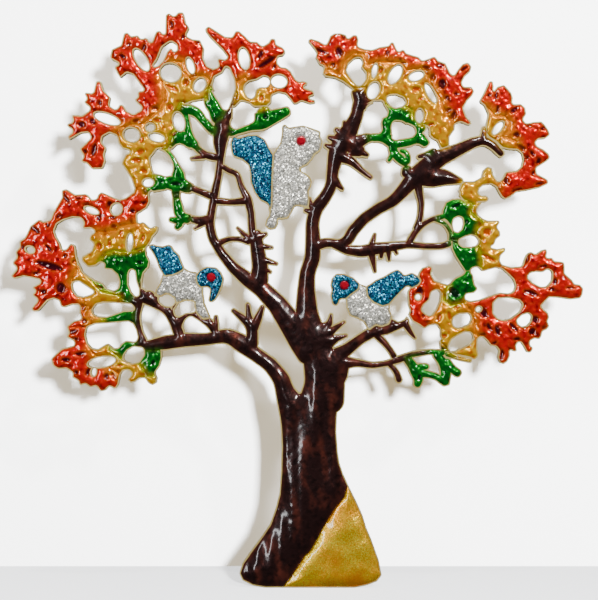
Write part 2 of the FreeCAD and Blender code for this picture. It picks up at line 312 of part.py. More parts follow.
# ---------------------------------------------------------------- animals
SQUIRREL_BODY = [
    (-13.0, 151.4), (-10.5, 155.3), (-9.9, 158.4), (-9.8, 161.4), (-8.5, 162.0),
    (-7.6, 160.7), (-4.6, 161.2), (-2.4, 161.5), (0.2, 160.7), (3.9, 159.4),
    (3.7, 157.5), (4.6, 156.1), (4.2, 154.3), (3.5, 152.4), (1.9, 151.4), (0.8, 149.6),
    (-0.8, 147.7), (-3.9, 146.0), (-1.8, 144.9), (0.0, 143.6), (0.7, 141.9),
    (0.4, 140.1), (-0.4, 138.6), (-0.2, 135.4), (-0.4, 132.6), (-3.6, 133.2),
    (-5.2, 133.3), (-6.2, 131.2), (-7.6, 129.0), (-10.0, 128.6), (-11.2, 128.8),
    (-11.0, 127.2), (-12.0, 125.2), (-14.2, 125.0), (-15.8, 126.2), (-15.4, 128.4),
    (-14.4, 130.0), (-13.6, 134.0), (-13.4, 143.0)]
SQUIRREL_TAIL = [
    (-27.6, 152.6), (-27.8, 155.6), (-26.9, 158.2), (-25.0, 157.2), (-21.6, 158.2),
    (-18.4, 158.3), (-15.6, 156.6), (-14.2, 153.8), (-12.5, 151.0), (-12.8, 147.2),
    (-12.2, 143.0), (-11.8, 139.0), (-11.6, 134.6), (-12.2, 131.6), (-13.2, 130.4),
    (-14.4, 131.4), (-14.6, 133.8), (-17.6, 135.4), (-19.6, 138.2), (-20.8, 141.5),
    (-21.0, 144.9), (-21.6, 147.6), (-23.6, 149.3), (-27.0, 150.6)]
LEFT_BIRD_BODY = [
    (-51.4, 110.0), (-48.0, 111.6), (-44.2, 112.0), (-42.4, 110.8), (-39.4, 110.2),
    (-38.2, 107.0), (-37.2, 105.0), (-37.3, 103.0), (-36.7, 99.2), (-35.4, 96.2),
    (-34.4, 94.0), (-37.4, 93.6), (-39.6, 95.6), (-40.4, 98.0), (-40.3, 99.9),
    (-43.8, 100.1), (-46.8, 99.0), (-47.6, 101.2), (-50.0, 102.7), (-52.6, 101.2),
    (-54.4, 103.2), (-52.4, 106.4)]
LEFT_BIRD_WING = [
    (-56.6, 119.0), (-55.4, 120.3), (-53.4, 119.6), (-51.5, 119.3), (-48.8, 120.1),
    (-47.4, 118.0), (-45.6, 116.2), (-44.8, 113.9), (-43.6, 111.2), (-45.8, 109.8),
    (-48.3, 108.9), (-51.0, 108.6), (-52.8, 111.8), (-53.9, 114.8), (-55.2, 117.2)]
LEFT_BIRD_HEAD = [
    (-40.0, 108.9), (-38.6, 111.0), (-36.1, 112.2), (-32.8, 112.0), (-31.0, 110.3),
    (-30.0, 108.0), (-30.4, 105.8), (-31.6, 102.8), (-32.8, 100.6), (-34.3, 99.4),
    (-35.7, 100.1), (-35.2, 102.2), (-34.9, 104.4), (-36.0, 104.9), (-38.4, 104.7),
    (-39.7, 106.4)]
RIGHT_BIRD_HEAD = [
    (7.1, 105.6), (7.5, 108.0), (9.1, 109.8), (12.0, 109.7), (15.2, 108.4),
    (17.6, 106.2), (17.0, 104.0), (14.4, 102.2), (12.7, 100.7), (10.6, 100.6),
    (10.2, 99.4), (9.2, 98.1), (7.8, 98.9), (7.1, 101.8), (7.5, 104.0)]
RIGHT_BIRD_BODY = [
    (16.6, 106.4), (19.8, 105.4), (21.0, 102.4), (22.2, 100.6), (25.5, 99.6),
    (28.0, 99.8), (27.9, 97.0), (28.8, 94.8), (27.8, 92.0), (25.0, 91.0),
    (23.0, 91.6), (20.4, 89.6), (19.4, 91.6), (18.6, 92.8), (16.3, 94.0),
    (13.8, 94.9), (12.8, 97.8), (12.4, 101.2), (14.6, 104.2)]
RIGHT_BIRD_WING = [
    (19.4, 105.2), (21.4, 106.4), (23.0, 107.6), (26.0, 108.9), (28.4, 110.4),
    (30.6, 111.4), (32.2, 110.2), (33.0, 109.2), (35.6, 110.2), (37.8, 109.0),
    (39.2, 107.2), (37.8, 105.5), (35.6, 104.4), (34.0, 105.3), (31.8, 103.2),
    (29.4, 100.6), (27.8, 98.8), (25.4, 98.1), (22.2, 99.4), (20.0, 101.6)]

# ---------------------------------------------------------------- limbs
# Each limb is its centre line with the local width: (across, up, width) in mm.
BROWN_LIMBS = [
    # lower branch to the left and its twigs
    [(-4.0, 62.0, 10.0), (-8.5, 67.5, 7.0), (-10.0, 73.0, 6.0), (-14.0, 78.0, 5.2),
     (-19.0, 81.5, 5.0), (-24.0, 85.5, 6.5), (-29.0, 88.2, 5.2), (-36.0, 86.8, 4.2),
     (-44.0, 86.5, 5.0), (-51.0, 85.5, 5.0), (-57.0, 84.6, 3.4), (-62.0, 85.2, 1.8),
     (-65.4, 85.6, 1.6)],
    [(-20.5, 84.0, 5.0), (-20.0, 91.0, 4.2), (-24.0, 94.6, 2.6), (-27.3, 97.2, 1.4)],
    [(-20.0, 90.0, 4.0), (-21.4, 95.0, 2.4), (-21.8, 99.6, 1.4)],
    [(-20.0, 90.0, 4.0), (-18.0, 94.4, 3.0), (-16.3, 98.7, 1.4)],
    [(-33.5, 87.6, 3.2), (-32.8, 92.0, 2.0), (-32.9, 95.2, 1.2)],
    [(-33.0, 89.4, 3.0), (-34.5, 92.0, 3.2), (-38.0, 94.6, 3.0), (-41.5, 96.2, 2.2),
     (-44.6, 95.0, 3.0), (-46.2, 91.6, 3.0), (-46.0, 87.8, 3.0)],
    [(-45.5, 88.0, 4.0), (-47.4, 93.0, 3.6), (-50.0, 97.2, 3.2), (-55.0, 100.3, 4.4),
     (-58.0, 101.4, 4.4), (-60.6, 104.0, 3.6)],
    [(-47.6, 94.0, 3.0), (-47.0, 98.4, 2.2), (-45.8, 99.6, 1.2)],
    [(-59.5, 101.0, 3.4), (-60.6, 94.0, 2.2), (-59.4, 89.0, 2.2), (-57.8, 85.0, 3.0)],
    [(-56.5, 100.8, 5.0), (-55.4, 103.6, 3.6)],
    # upper branch to the left, its inner strand, bars and side twigs
    [(2.0, 80.0, 11.0), (-3.0, 87.0, 10.0), (-8.0, 94.0, 8.0), (-11.5, 99.0, 7.0),
     (-17.0, 104.5, 6.0), (-22.0, 107.8, 5.2), (-27.0, 112.0, 4.0), (-31.0, 117.0, 3.4),
     (-34.0, 122.0, 3.2), (-35.2, 127.0, 3.4), (-34.2, 132.0, 2.8), (-33.2, 138.0, 3.0),
     (-32.0, 143.5, 2.6), (-31.2, 150.0, 2.6), (-31.4, 155.0, 4.8), (-30.8, 160.0, 6.4),
     (-29.8, 165.0, 5.4), (-28.4, 169.4, 3.0), (-26.6, 172.2, 1.8)],
    [(-19.5, 106.5, 4.0), (-18.4, 112.0, 3.6), (-19.4, 119.0, 3.0), (-20.2, 125.0, 2.8),
     (-20.6, 131.0, 2.6), (-21.8, 136.0, 3.2), (-24.0, 140.0, 2.2), (-25.4, 144.6, 2.2),
     (-28.2, 145.6, 2.2), (-31.0, 147.4, 2.0)],
    [(-33.6, 135.2, 2.6), (-27.6, 134.6, 2.2), (-21.6, 135.2, 3.0)],
    [(-31.6, 120.4, 2.6), (-28.4, 121.8, 1.8), (-24.6, 121.8, 1.8), (-20.4, 120.6, 2.6)],
    [(-20.0, 121.6, 2.6), (-23.0, 123.2, 2.0), (-25.6, 126.0, 0.9)],
    [(-17.0, 106.0, 5.0), (-16.8, 112.4, 4.4), (-17.6, 119.0, 3.2), (-18.6, 125.0, 3.0)],
    [(-17.8, 122.6, 4.0), (-14.8, 123.8, 0.9)], [(-17.4, 119.2, 3.0), (-12.8, 118.8, 0.9)],
    [(-16.8, 114.6, 3.2), (-11.2, 113.0, 1.0)], [(-16.4, 111.6, 3.0), (-13.4, 110.0, 1.0)],
    [(-35.0, 128.5, 4.0), (-38.5, 128.0, 3.2), (-42.0, 128.9, 2.4)],
    [(-37.4, 127.2, 2.2), (-40.6, 125.2, 0.9)],
    [(-34.4, 136.8, 3.0), (-38.0, 138.2, 2.4), (-43.0, 140.2, 2.4)],
    [(-31.8, 150.2, 2.8), (-36.0, 150.8, 2.8), (-39.2, 153.2, 2.4), (-41.2, 155.8, 2.2)],
    [(-37.0, 150.6, 2.2), (-41.9, 149.8, 1.0)],
    # main stem
    [(3.5, 62.0, 17.0), (5.2, 72.0, 14.0), (3.4, 80.0, 12.0), (0.6, 88.0, 10.0),
     (-1.2, 96.0, 8.0), (-1.3, 104.0, 6.2), (-0.9, 110.0, 5.4), (0.9, 115.0, 5.6),
     (1.1, 121.0, 5.4), (0.8, 127.0, 4.6), (1.8, 132.0, 5.0), (5.0, 136.0, 4.4),
     (7.4, 140.0, 4.2), (8.0, 146.0, 4.4), (9.0, 151.0, 6.0), (11.4, 156.0, 7.4),
     (14.0, 160.0, 6.0), (16.3, 164.6, 4.4), (17.2, 169.0, 4.6), (18.0, 172.4, 4.0)],
    [(1.6, 131.0, 3.0), (-2.2, 132.0, 1.6)], [(0.6, 133.0, 2.6), (-0.4, 136.4, 1.2)],
    [(8.0, 153.6, 3.6), (4.9, 154.8, 1.2)], [(8.6, 156.6, 3.4), (6.0, 157.4, 1.4)],
    [(10.0, 159.4, 3.0), (8.6, 160.4, 1.4)], [(12.4, 160.0, 3.0), (12.0, 163.2, 1.3)],
    [(17.0, 170.0, 4.0), (15.2, 174.0, 2.0)], [(17.6, 170.0, 4.0), (18.8, 174.6, 2.0)],
    [(18.0, 169.6, 3.4), (22.6, 171.2, 1.6)], [(17.6, 167.6, 3.0), (22.0, 168.9, 1.4)],
    [(12.0, 154.4, 6.0), (16.6, 155.6, 5.0), (20.6, 157.2, 3.2), (23.0, 157.3, 2.6)],
    [(14.0, 153.0, 5.0), (19.2, 152.4, 4.2)], [(18.6, 151.8, 3.0), (20.6, 150.8, 1.3)],
    [(11.6, 150.4, 5.0), (14.6, 149.0, 3.2), (18.0, 145.8, 2.2), (21.8, 142.9, 1.6)],
    [(8.6, 143.0, 3.0), (10.2, 140.2, 2.2), (11.8, 138.9, 1.0)],
    # branch to the upper right
    [(1.6, 119.4, 4.4), (6.0, 120.6, 3.2), (10.0, 120.0, 3.2), (13.0, 121.0, 4.2),
     (15.0, 124.6, 4.2), (19.0, 129.0, 4.0), (24.0, 132.4, 4.0), (29.0, 135.0, 4.2),
     (33.0, 139.2, 5.0), (36.6, 143.4, 6.4), (41.0, 147.0, 7.0), (46.0, 150.4, 5.8),
     (52.0, 153.0, 4.4), (57.0, 155.4, 3.8), (61.0, 156.4, 3.4), (64.4, 154.2, 3.0),
     (67.4, 150.8, 2.2)],
    [(60.6, 156.4, 3.0), (61.0, 161.0, 1.5)],
    [(37.0, 144.0, 7.0), (43.0, 143.4, 7.4), (48.0, 143.2, 5.2), (53.4, 141.8, 1.6)],
    [(44.0, 152.0, 4.0), (40.4, 151.0, 2.4), (37.4, 150.4, 1.4)],
    [(34.0, 144.0, 5.0), (33.8, 147.6, 3.2)],
    [(37.6, 141.0, 3.6), (38.9, 134.0, 2.2), (38.5, 129.0, 2.2), (36.8, 124.6, 2.4)],
    # lower branch to the right
    [(8.0, 120.0, 2.6), (12.6, 118.0, 3.4), (18.0, 117.4, 4.2), (23.0, 118.4, 4.4),
     (28.0, 119.0, 3.6), (34.0, 119.9, 2.6), (40.0, 119.3, 2.2), (46.0, 119.2, 2.2),
     (49.6, 120.6, 2.6)],
    [(21.4, 119.0, 3.0), (22.8, 123.9, 0.9)], [(21.4, 117.4, 3.4), (22.8, 109.9, 1.0)],
    [(25.0, 117.4, 2.6), (24.8, 114.8, 1.4)], [(27.4, 117.4, 2.6), (27.6, 113.9, 1.0)],
    [(29.6, 118.2, 2.0), (30.6, 116.2, 1.0)],
    [(34.6, 120.4, 2.6), (36.6, 124.0, 2.4), (39.4, 127.0, 2.0), (43.0, 128.8, 1.9),
     (47.2, 129.8, 2.2)],
    [(43.6, 128.6, 1.6), (47.4, 127.2, 1.8), (49.4, 123.6, 1.8), (49.2, 120.8, 2.4)],
    # lowest branches to the right
    [(8.0, 80.0, 7.0), (13.0, 83.2, 4.4), (17.6, 86.8, 3.6), (22.0, 89.4, 4.0),
     (27.0, 90.8, 4.6), (31.0, 92.2, 3.8), (34.4, 93.8, 3.4)],
    [(22.4, 90.4, 3.0), (21.6, 92.4, 1.6)], [(28.2, 92.0, 3.0), (28.6, 94.8, 1.6)],
    [(33.4, 92.0, 2.8), (35.4, 88.8, 1.8), (37.0, 86.9, 0.9)],
    [(11.0, 78.6, 6.0), (16.0, 78.6, 2.8), (22.0, 77.6, 2.2), (27.0, 78.3, 2.0),
     (31.4, 79.8, 2.6), (36.0, 81.5, 2.2), (42.0, 82.4, 1.8), (47.4, 82.0, 2.2)],
    [(23.0, 88.4, 2.6), (26.0, 85.6, 2.4), (28.2, 82.8, 2.0), (29.8, 80.0, 2.4)],
    [(27.6, 78.2, 1.8), (30.2, 75.6, 2.2), (31.4, 71.6, 2.4)],
    [(46.4, 86.0, 2.0), (47.0, 82.2, 2.4)], [(48.0, 81.6, 2.2), (53.0, 80.0, 1.7), (56.4, 79.2, 1.3)],
    [(4.0, 91.0, 5.0), (6.8, 91.4, 3.0), (7.5, 95.8, 1.0)],
    [(4.6, 87.6, 6.0), (8.0, 90.0, 2.8), (12.4, 93.1, 1.0)],
    [(5.0, 85.0, 8.0), (8.6, 87.0, 3.0), (13.2, 88.2, 1.0)]]
GREEN_LIMBS = [
    [(-36.0, 174.4, 1.6), (-35.2, 170.6, 4.0), (-32.8, 166.2, 5.0), (-31.0, 162.6, 5.0)],
    [(-46.2, 167.2, 2.6), (-43.2, 167.2, 3.4), (-39.6, 166.2, 3.0), (-37.4, 163.4, 2.6),
     (-34.6, 160.2, 2.6), (-31.8, 158.4, 3.4)],
    [(-44.2, 167.0, 2.8), (-43.2, 163.0, 2.0), (-42.6, 159.6, 2.2), (-41.8, 156.6, 2.8),
     (-39.4, 153.6, 2.6)],
    [(-50.0, 153.6, 2.2), (-48.2, 156.6, 4.2), (-45.4, 157.6, 4.4), (-43.0, 156.6, 4.2),
     (-40.4, 154.4, 3.0)],
    [(-51.6, 153.6, 2.4), (-48.8, 150.4, 2.2), (-47.2, 147.4, 2.6), (-46.0, 144.4, 4.0),
     (-46.0, 141.4, 5.2), (-43.2, 139.9, 4.0), (-41.0, 139.2, 2.6)],
    [(-55.6, 143.6, 2.0), (-53.0, 142.4, 3.2), (-50.0, 141.6, 4.0), (-46.0, 141.0, 5.4)],
    [(-55.5, 139.4, 1.8), (-53.0, 140.2, 2.6), (-50.0, 141.0, 3.6)],
    [(-46.8, 139.6, 3.4), (-46.8, 136.6, 2.0), (-46.2, 133.6, 2.8), (-45.8, 131.0, 3.2),
     (-44.4, 129.2, 3.4), (-41.6, 128.6, 3.0)],
    [(-49.0, 128.6, 1.0), (-46.4, 128.2, 2.2), (-44.0, 128.4, 3.2)],
    [(-46.8, 125.4, 1.2), (-45.0, 127.6, 2.6)],
    [(-29.0, 159.2, 4.0), (-25.4, 159.8, 2.6), (-21.0, 161.2, 3.0), (-17.2, 163.2, 6.8),
     (-13.0, 164.4, 4.6), (-9.4, 165.8, 3.2), (-7.2, 166.8, 2.4)],
    [(-16.8, 164.4, 5.6), (-15.0, 167.8, 2.6)],
    [(21.0, 157.3, 2.8), (25.4, 158.0, 4.0), (29.0, 155.2, 4.0), (34.4, 155.8, 3.0),
     (38.2, 157.6, 4.4), (41.0, 154.6, 2.2)],
    [(26.4, 157.6, 4.0), (26.2, 162.0, 3.8), (28.4, 165.6, 4.6), (33.4, 164.8, 3.4),
     (37.0, 161.6, 3.4), (39.6, 159.4, 4.4)],
    [(28.8, 156.0, 3.4), (29.2, 152.0, 2.8), (31.4, 149.8, 3.0), (34.2, 147.8, 2.4)],
    [(31.4, 152.6, 1.2), (33.2, 152.4, 1.5), (34.4, 150.4, 1.6), (33.8, 148.0, 2.0)],
    [(29.4, 152.4, 1.8), (27.4, 148.9, 1.0)],
    [(43.6, 82.2, 2.4), (46.2, 79.2, 3.0), (47.6, 76.0, 3.6), (47.0, 72.2, 3.2), (47.4, 70.8, 2.0)],
    [(47.0, 79.6, 3.0), (49.6, 76.4, 2.4), (52.4, 74.4, 2.6)],
    [(33.4, 80.8, 2.8), (35.6, 77.8, 3.0), (37.4, 75.2, 4.2), (38.0, 72.4, 3.0), (37.2, 70.2, 1.8)],
    [(37.4, 77.0, 2.4), (41.4, 77.2, 1.6)],
    [(38.0, 75.0, 3.0), (41.2, 74.6, 2.0), (44.2, 73.8, 2.0), (47.0, 71.8, 2.4)]]
TRUNK = [
    (-23.6, 2.6), (-20.0, 0.8), (-15.5, 0.0), (15.5, 0.0), (20.0, 0.9), (23.4, 2.2),
    (25.1, 4.4), (24.1, 9.6), (21.6, 16.6), (19.9, 20.6), (18.5, 25.1), (16.5, 29.6),
    (14.0, 34.6), (11.7, 39.6), (10.4, 43.6), (9.8, 47.6), (9.3, 54.6), (9.5, 59.6),
    (10.0, 64.6), (11.6, 69.6), (13.4, 73.6), (14.1, 77.6), (12.0, 82.0), (0.0, 84.0),
    (-1.4, 78.0), (-1.5, 72.4), (-2.0, 69.6), (-4.0, 67.6), (-6.0, 70.6), (-8.4, 74.0),
    (-13.0, 74.4), (-12.2, 67.6), (-10.7, 59.6), (-10.2, 55.6), (-9.9, 49.6), (-10.2, 39.6),
    (-10.7, 32.6), (-12.0, 27.6), (-14.0, 22.1), (-17.0, 17.6), (-20.0, 13.6),
    (-23.5, 8.6), (-24.7, 5.0)]

# The animals, the uppermost of each overlapping pair first.
ANIMALS = [
    ("squirrel_body_glitter", SQUIRREL_BODY), ("squirrel_tail_glitter", SQUIRREL_TAIL),
    ("left_bird_wing_glitter", LEFT_BIRD_WING), ("left_bird_head_glitter", LEFT_BIRD_HEAD),
    ("left_bird_body_glitter", LEFT_BIRD_BODY),
    ("right_bird_wing_glitter", RIGHT_BIRD_WING),
    ("right_bird_head_glitter", RIGHT_BIRD_HEAD),
    ("right_bird_body_glitter", RIGHT_BIRD_BODY)]

# ---------------------------------------------------------------- colour areas
# Every area is a plain loop laid over the casting; whatever lacquer cell lies under
# it takes its colour.  Earlier areas win where two overlap.
AREAS = [
    ("ground_gold_glitter", [[
        (-9.4, -2.0), (-9.0, 0.6), (-6.5, 3.6), (-4.0, 7.6), (-2.0, 10.6), (0.5, 13.0),
        (3.0, 17.6), (4.5, 20.6), (7.0, 24.6), (10.0, 29.0), (12.0, 31.6), (13.4, 36.4),
        (30.0, 22.0), (30.0, -2.0)]]),
    ("amber_top_left_lacquer", [[
        (-34.2, 176.8), (-37.0, 178.8), (-39.8, 178.6), (-42.0, 178.0), (-44.6, 180.5),
        (-45.0, 183.5), (-48.5, 183.9), (-51.6, 181.0), (-52.0, 178.0), (-51.0, 174.0),
        (-51.0, 170.0), (-52.6, 167.0), (-55.0, 164.6), (-58.0, 162.0), (-61.5, 161.8),
        (-66.5, 160.6), (-69.0, 157.0), (-69.0, 140.0), (-62.5, 138.8), (-58.4, 140.2),
        (-55.4, 140.6), (-54.4, 146.0), (-54.4, 152.6), (-49.4, 153.4), (-48.8, 158.0),
        (-47.4, 160.0), (-46.8, 166.4), (-45.0, 169.6), (-40.0, 168.8), (-36.6, 171.0),
        (-35.8, 174.0)]]),
    ("amber_top_middle_lacquer", [[
        (-28.6, 177.5), (-25.0, 176.7), (-22.6, 178.2), (-21.0, 176.0), (-18.0, 174.6),
        (-13.6, 176.6), (-13.0, 173.6), (-12.6, 170.6), (-14.5, 168.0), (-17.0, 167.2),
        (-20.0, 166.6), (-26.0, 168.6), (-25.6, 172.6)]]),
    ("amber_left_upper_lacquer", [[
        (-78.8, 121.2), (-75.6, 124.2), (-72.0, 124.2), (-68.0, 124.8), (-65.0, 126.6),
        (-60.2, 127.2), (-57.0, 129.0), (-51.0, 128.0), (-53.0, 121.0), (-56.8, 119.2),
        (-60.0, 118.2), (-63.0, 117.4), (-66.0, 117.4), (-68.4, 117.8), (-71.6, 116.8),
        (-73.6, 114.4), (-73.0, 112.0), (-76.0, 110.4), (-81.4, 113.0), (-81.0, 116.4),
        (-77.6, 118.6)]]),
    ("amber_left_lower_lacquer", [[
        (-81.8, 115.4), (-81.2, 111.6), (-83.4, 107.2), (-79.6, 101.6), (-78.6, 98.6),
        (-77.0, 98.2), (-77.2, 95.0), (-76.4, 90.4), (-71.6, 92.0), (-72.6, 94.6),
        (-74.6, 97.6), (-72.6, 100.0), (-66.0, 99.2), (-66.0, 101.8), (-73.2, 103.6),
        (-75.4, 106.2), (-77.4, 109.2), (-80.2, 111.8), (-80.2, 115.4)]]),
    ("amber_low_left_lacquer", [[
        (-77.6, 85.2), (-75.0, 81.0), (-69.4, 80.4), (-70.4, 77.0), (-68.0, 75.4),
        (-66.2, 74.0), (-65.4, 70.0), (-58.0, 70.0), (-57.0, 73.6), (-58.4, 76.4),
        (-60.2, 78.6), (-64.8, 79.2), (-66.6, 80.2), (-69.8, 83.0), (-70.4, 86.4),
        (-73.0, 85.6)], [(-57.2, 74.0), (-52.8, 73.9), (-52.8, 69.6), (-57.2, 69.6)]]),
    ("amber_top_right_lacquer", [[
        (2.0, 178.6), (4.0, 180.8), (7.0, 181.0), (9.6, 179.2), (11.2, 181.0), (12.6, 184.4),
        (15.6, 186.6), (18.6, 186.4), (20.2, 182.6), (23.4, 183.6), (31.6, 183.4),
        (33.8, 180.6), (38.6, 181.4), (41.0, 179.0), (41.8, 176.8), (45.2, 171.0),
        (48.0, 164.8), (51.8, 161.0), (52.0, 158.0), (49.6, 155.0), (46.4, 153.6),
        (44.6, 154.6), (42.4, 156.0), (41.9, 160.6), (38.6, 162.2), (36.2, 164.8),
        (35.4, 167.0), (33.0, 168.2), (28.0, 168.4), (25.4, 169.0), (22.4, 170.2),
        (20.4, 171.4), (19.4, 175.0), (15.4, 174.6), (14.0, 173.2), (8.0, 175.8),
        (3.0, 177.0)]]),
    ("amber_right_upper_lacquer", [[
        (60.4, 168.9), (62.8, 166.8), (64.6, 164.8), (68.0, 164.6), (69.8, 162.4),
        (69.6, 159.6), (67.4, 157.6), (72.0, 155.8), (72.4, 153.4), (69.0, 152.0),
        (66.2, 153.6), (66.2, 156.0), (63.4, 156.8), (61.8, 158.4), (60.4, 162.6)]]),
    ("amber_right_middle_lacquer", [[
        (51.4, 136.4), (52.2, 141.8), (57.0, 143.0), (59.4, 144.4), (59.8, 147.6),
        (62.6, 148.6), (65.0, 145.6), (66.0, 141.4), (65.2, 138.8), (65.0, 136.0),
        (62.0, 133.8), (56.8, 133.8), (55.4, 134.8), (53.2, 136.0)]]),
    ("amber_right_lower_lacquer", [[
        (56.8, 133.9), (62.0, 133.9), (68.0, 130.0), (70.0, 117.0), (68.0, 113.4),
        (66.4, 112.0), (65.0, 110.4), (59.4, 110.4), (59.8, 114.4), (59.6, 117.0),
        (58.6, 119.4), (59.8, 121.4), (58.0, 123.6), (58.6, 126.0), (60.2, 127.8),
        (57.6, 129.8), (56.2, 131.0)]]),
    ("amber_low_right_lacquer", [[
        (44.2, 107.4), (48.8, 106.4), (47.0, 103.0), (47.0, 100.2), (49.4, 98.6),
        (53.6, 99.6), (56.0, 97.0), (57.4, 93.0), (57.8, 88.6), (59.8, 86.6), (59.9, 78.6),
        (50.0, 80.8), (48.2, 83.4), (46.0, 85.4), (44.4, 90.6), (43.2, 92.8), (43.8, 95.4),
        (45.6, 100.4), (45.2, 104.2)]]),
    ("green_top_left_lacquer", [[
        (-38.0, 175.2), (-34.0, 175.2), (-30.0, 167.0), (-30.8, 164.4), (-33.6, 162.6),
        (-37.0, 165.6), (-38.0, 169.4)]]),
    ("green_left_crown_lacquer", [[
        (-50.8, 155.2), (-48.0, 154.2), (-41.0, 151.6), (-38.6, 153.6), (-39.6, 157.0),
        (-40.0, 161.6), (-33.6, 158.4), (-33.0, 160.6), (-37.0, 165.0), (-37.8, 169.9),
        (-48.0, 169.9)]]),
    ("green_left_middle_lacquer", [[
        (-52.8, 154.6), (-49.4, 154.0), (-44.0, 146.0), (-41.8, 141.6), (-42.6, 138.2),
        (-48.0, 137.6), (-58.0, 137.4), (-58.0, 145.0), (-53.0, 145.6), (-50.4, 149.4)]]),
    ("green_left_sprig_lacquer", [[
        (-50.2, 127.4), (-48.0, 123.8), (-43.6, 126.2), (-41.8, 127.2), (-42.0, 130.8),
        (-43.6, 132.0), (-45.0, 136.2), (-47.8, 136.2), (-47.6, 131.0)]]),
    ("green_top_middle_lacquer", [[
        (-28.0, 156.6), (-27.4, 161.2), (-20.0, 163.4), (-20.0, 167.1), (-16.0, 170.0),
        (-13.8, 169.6), (-12.0, 167.9), (-5.0, 169.0), (-4.0, 165.0), (-12.0, 157.0),
        (-22.0, 158.0)]]),
    ("green_left_lacquer", [[
        (-76.8, 108.0), (-75.0, 104.4), (-73.4, 103.4), (-66.4, 101.4), (-63.4, 99.8),
        (-62.0, 102.4), (-60.2, 106.6), (-57.4, 109.4), (-54.4, 111.8), (-54.4, 117.0),
        (-57.0, 119.8), (-63.0, 119.4), (-74.6, 117.6), (-75.0, 110.4)]]),
    ("green_left_bar_lacquer", [[
        (-73.4, 95.4), (-69.0, 96.6), (-64.6, 98.0), (-61.6, 98.0), (-61.6, 91.8),
        (-67.0, 91.8), (-72.6, 92.4)]]),
    ("green_low_left_lacquer", [[
        (-71.4, 84.0), (-66.4, 79.2), (-61.0, 83.8), (-61.0, 86.6), (-64.8, 86.9)]]),
    ("green_low_left_leaf_lacquer", [[
        (-60.9, 78.0), (-58.4, 76.2), (-56.8, 73.8), (-52.6, 73.8), (-50.4, 80.0),
        (-51.0, 83.2), (-58.8, 82.8), (-58.6, 80.6)]]),
    ("green_top_right_lacquer", [[
        (20.6, 155.2), (20.4, 159.4), (24.0, 159.8), (23.6, 166.0), (26.6, 169.4),
        (36.2, 168.2), (42.6, 161.0), (43.2, 156.4), (42.0, 152.0), (35.8, 153.4),
        (35.6, 148.8), (33.6, 146.8), (26.0, 148.2), (26.0, 154.4)]]),
    ("green_right_lacquer", [[
        (44.6, 127.4), (48.0, 126.8), (49.2, 124.0), (48.8, 121.6), (52.6, 121.6),
        (57.8, 123.6), (60.4, 127.8), (56.6, 131.4), (56.8, 134.0), (53.0, 136.8),
        (47.0, 136.2), (44.8, 131.6)]]),
    ("green_right_leaf_lacquer", [[
        (48.6, 121.5), (52.4, 120.0), (58.4, 120.0), (59.8, 117.0), (60.0, 111.8),
        (57.0, 112.0), (56.0, 110.8), (53.6, 110.6), (49.4, 117.2)]]),
    ("green_right_lower_lacquer", [[
        (53.6, 110.5), (56.0, 110.7), (58.0, 110.6), (60.0, 104.6), (56.4, 102.4),
        (54.6, 101.6), (54.0, 99.6), (49.4, 98.4), (46.4, 100.2), (46.6, 104.0),
        (50.4, 109.2)]]),
    ("green_low_right_lacquer", [[
        (41.6, 83.6), (47.8, 83.4), (50.4, 80.2), (54.8, 76.6), (53.6, 72.2), (49.0, 69.0),
        (35.6, 68.6), (34.6, 75.4), (33.8, 80.2), (36.6, 81.0), (40.6, 81.0)]]),
    ("red_top_left_lacquer", [[
        (-92.0, 144.0), (-70.4, 144.0), (-66.0, 156.0), (-50.0, 162.0), (-46.0, 178.0),
        (-38.0, 176.8), (-35.2, 176.5), (-34.2, 182.6), (-36.0, 186.0), (-35.8, 204.0),
        (-75.0, 204.0), (-92.0, 170.0)]]),
    ("red_top_middle_lacquer", [[
        (-35.3, 176.4), (-34.2, 182.4), (-38.6, 190.0), (-39.0, 198.0), (-8.0, 198.0),
        (6.0, 182.0), (6.0, 166.0), (-4.6, 167.6), (-9.0, 170.2), (-13.0, 171.0),
        (-20.0, 174.0), (-28.6, 175.0)]]),
    ("red_left_lacquer", [[
        (-110.0, 91.0), (-110.0, 132.0), (-90.0, 142.0), (-60.0, 142.0), (-52.0, 138.0),
        (-53.0, 130.0), (-62.0, 125.0), (-76.0, 122.0), (-78.0, 108.0), (-75.0, 98.0),
        (-76.0, 91.0)]]),
    ("red_low_left_lacquer", [[
        (-94.0, 91.1), (-75.0, 91.1), (-74.0, 84.0), (-72.0, 79.0), (-65.0, 76.4),
        (-65.0, 66.0), (-94.0, 66.0)]]),
    ("red_top_right_lacquer", [[
        (-4.0, 186.0), (-4.0, 196.0), (50.0, 196.0), (62.0, 184.0), (58.8, 172.0),
        (59.4, 168.6), (58.0, 160.0), (51.0, 160.0), (46.0, 164.0), (38.0, 176.0),
        (20.0, 180.0), (10.0, 178.0), (4.0, 179.0), (0.0, 183.0)]]),
    ("red_right_lacquer", [[
        (58.8, 172.2), (59.4, 168.7), (62.0, 166.0), (68.0, 160.0), (66.0, 157.0),
        (71.0, 153.0), (76.0, 150.0), (66.0, 146.4), (65.4, 134.0), (86.0, 134.0),
        (88.0, 160.0), (72.0, 180.0), (60.4, 180.0)]]),
    ("red_low_right_lacquer", [[
        (54.0, 101.6), (60.4, 104.6), (66.0, 110.0), (67.0, 114.6), (74.0, 120.6),
        (98.0, 120.6), (98.0, 76.0), (63.0, 76.0), (57.0, 86.0), (55.0, 94.0), (52.8, 99.0)]]),
    ("red_middle_right_lacquer", [[
        (33.6, 105.4), (36.0, 114.0), (45.4, 114.0), (46.4, 104.0), (45.8, 92.0),
        (41.4, 89.4), (36.4, 91.8), (33.4, 94.4)]])]

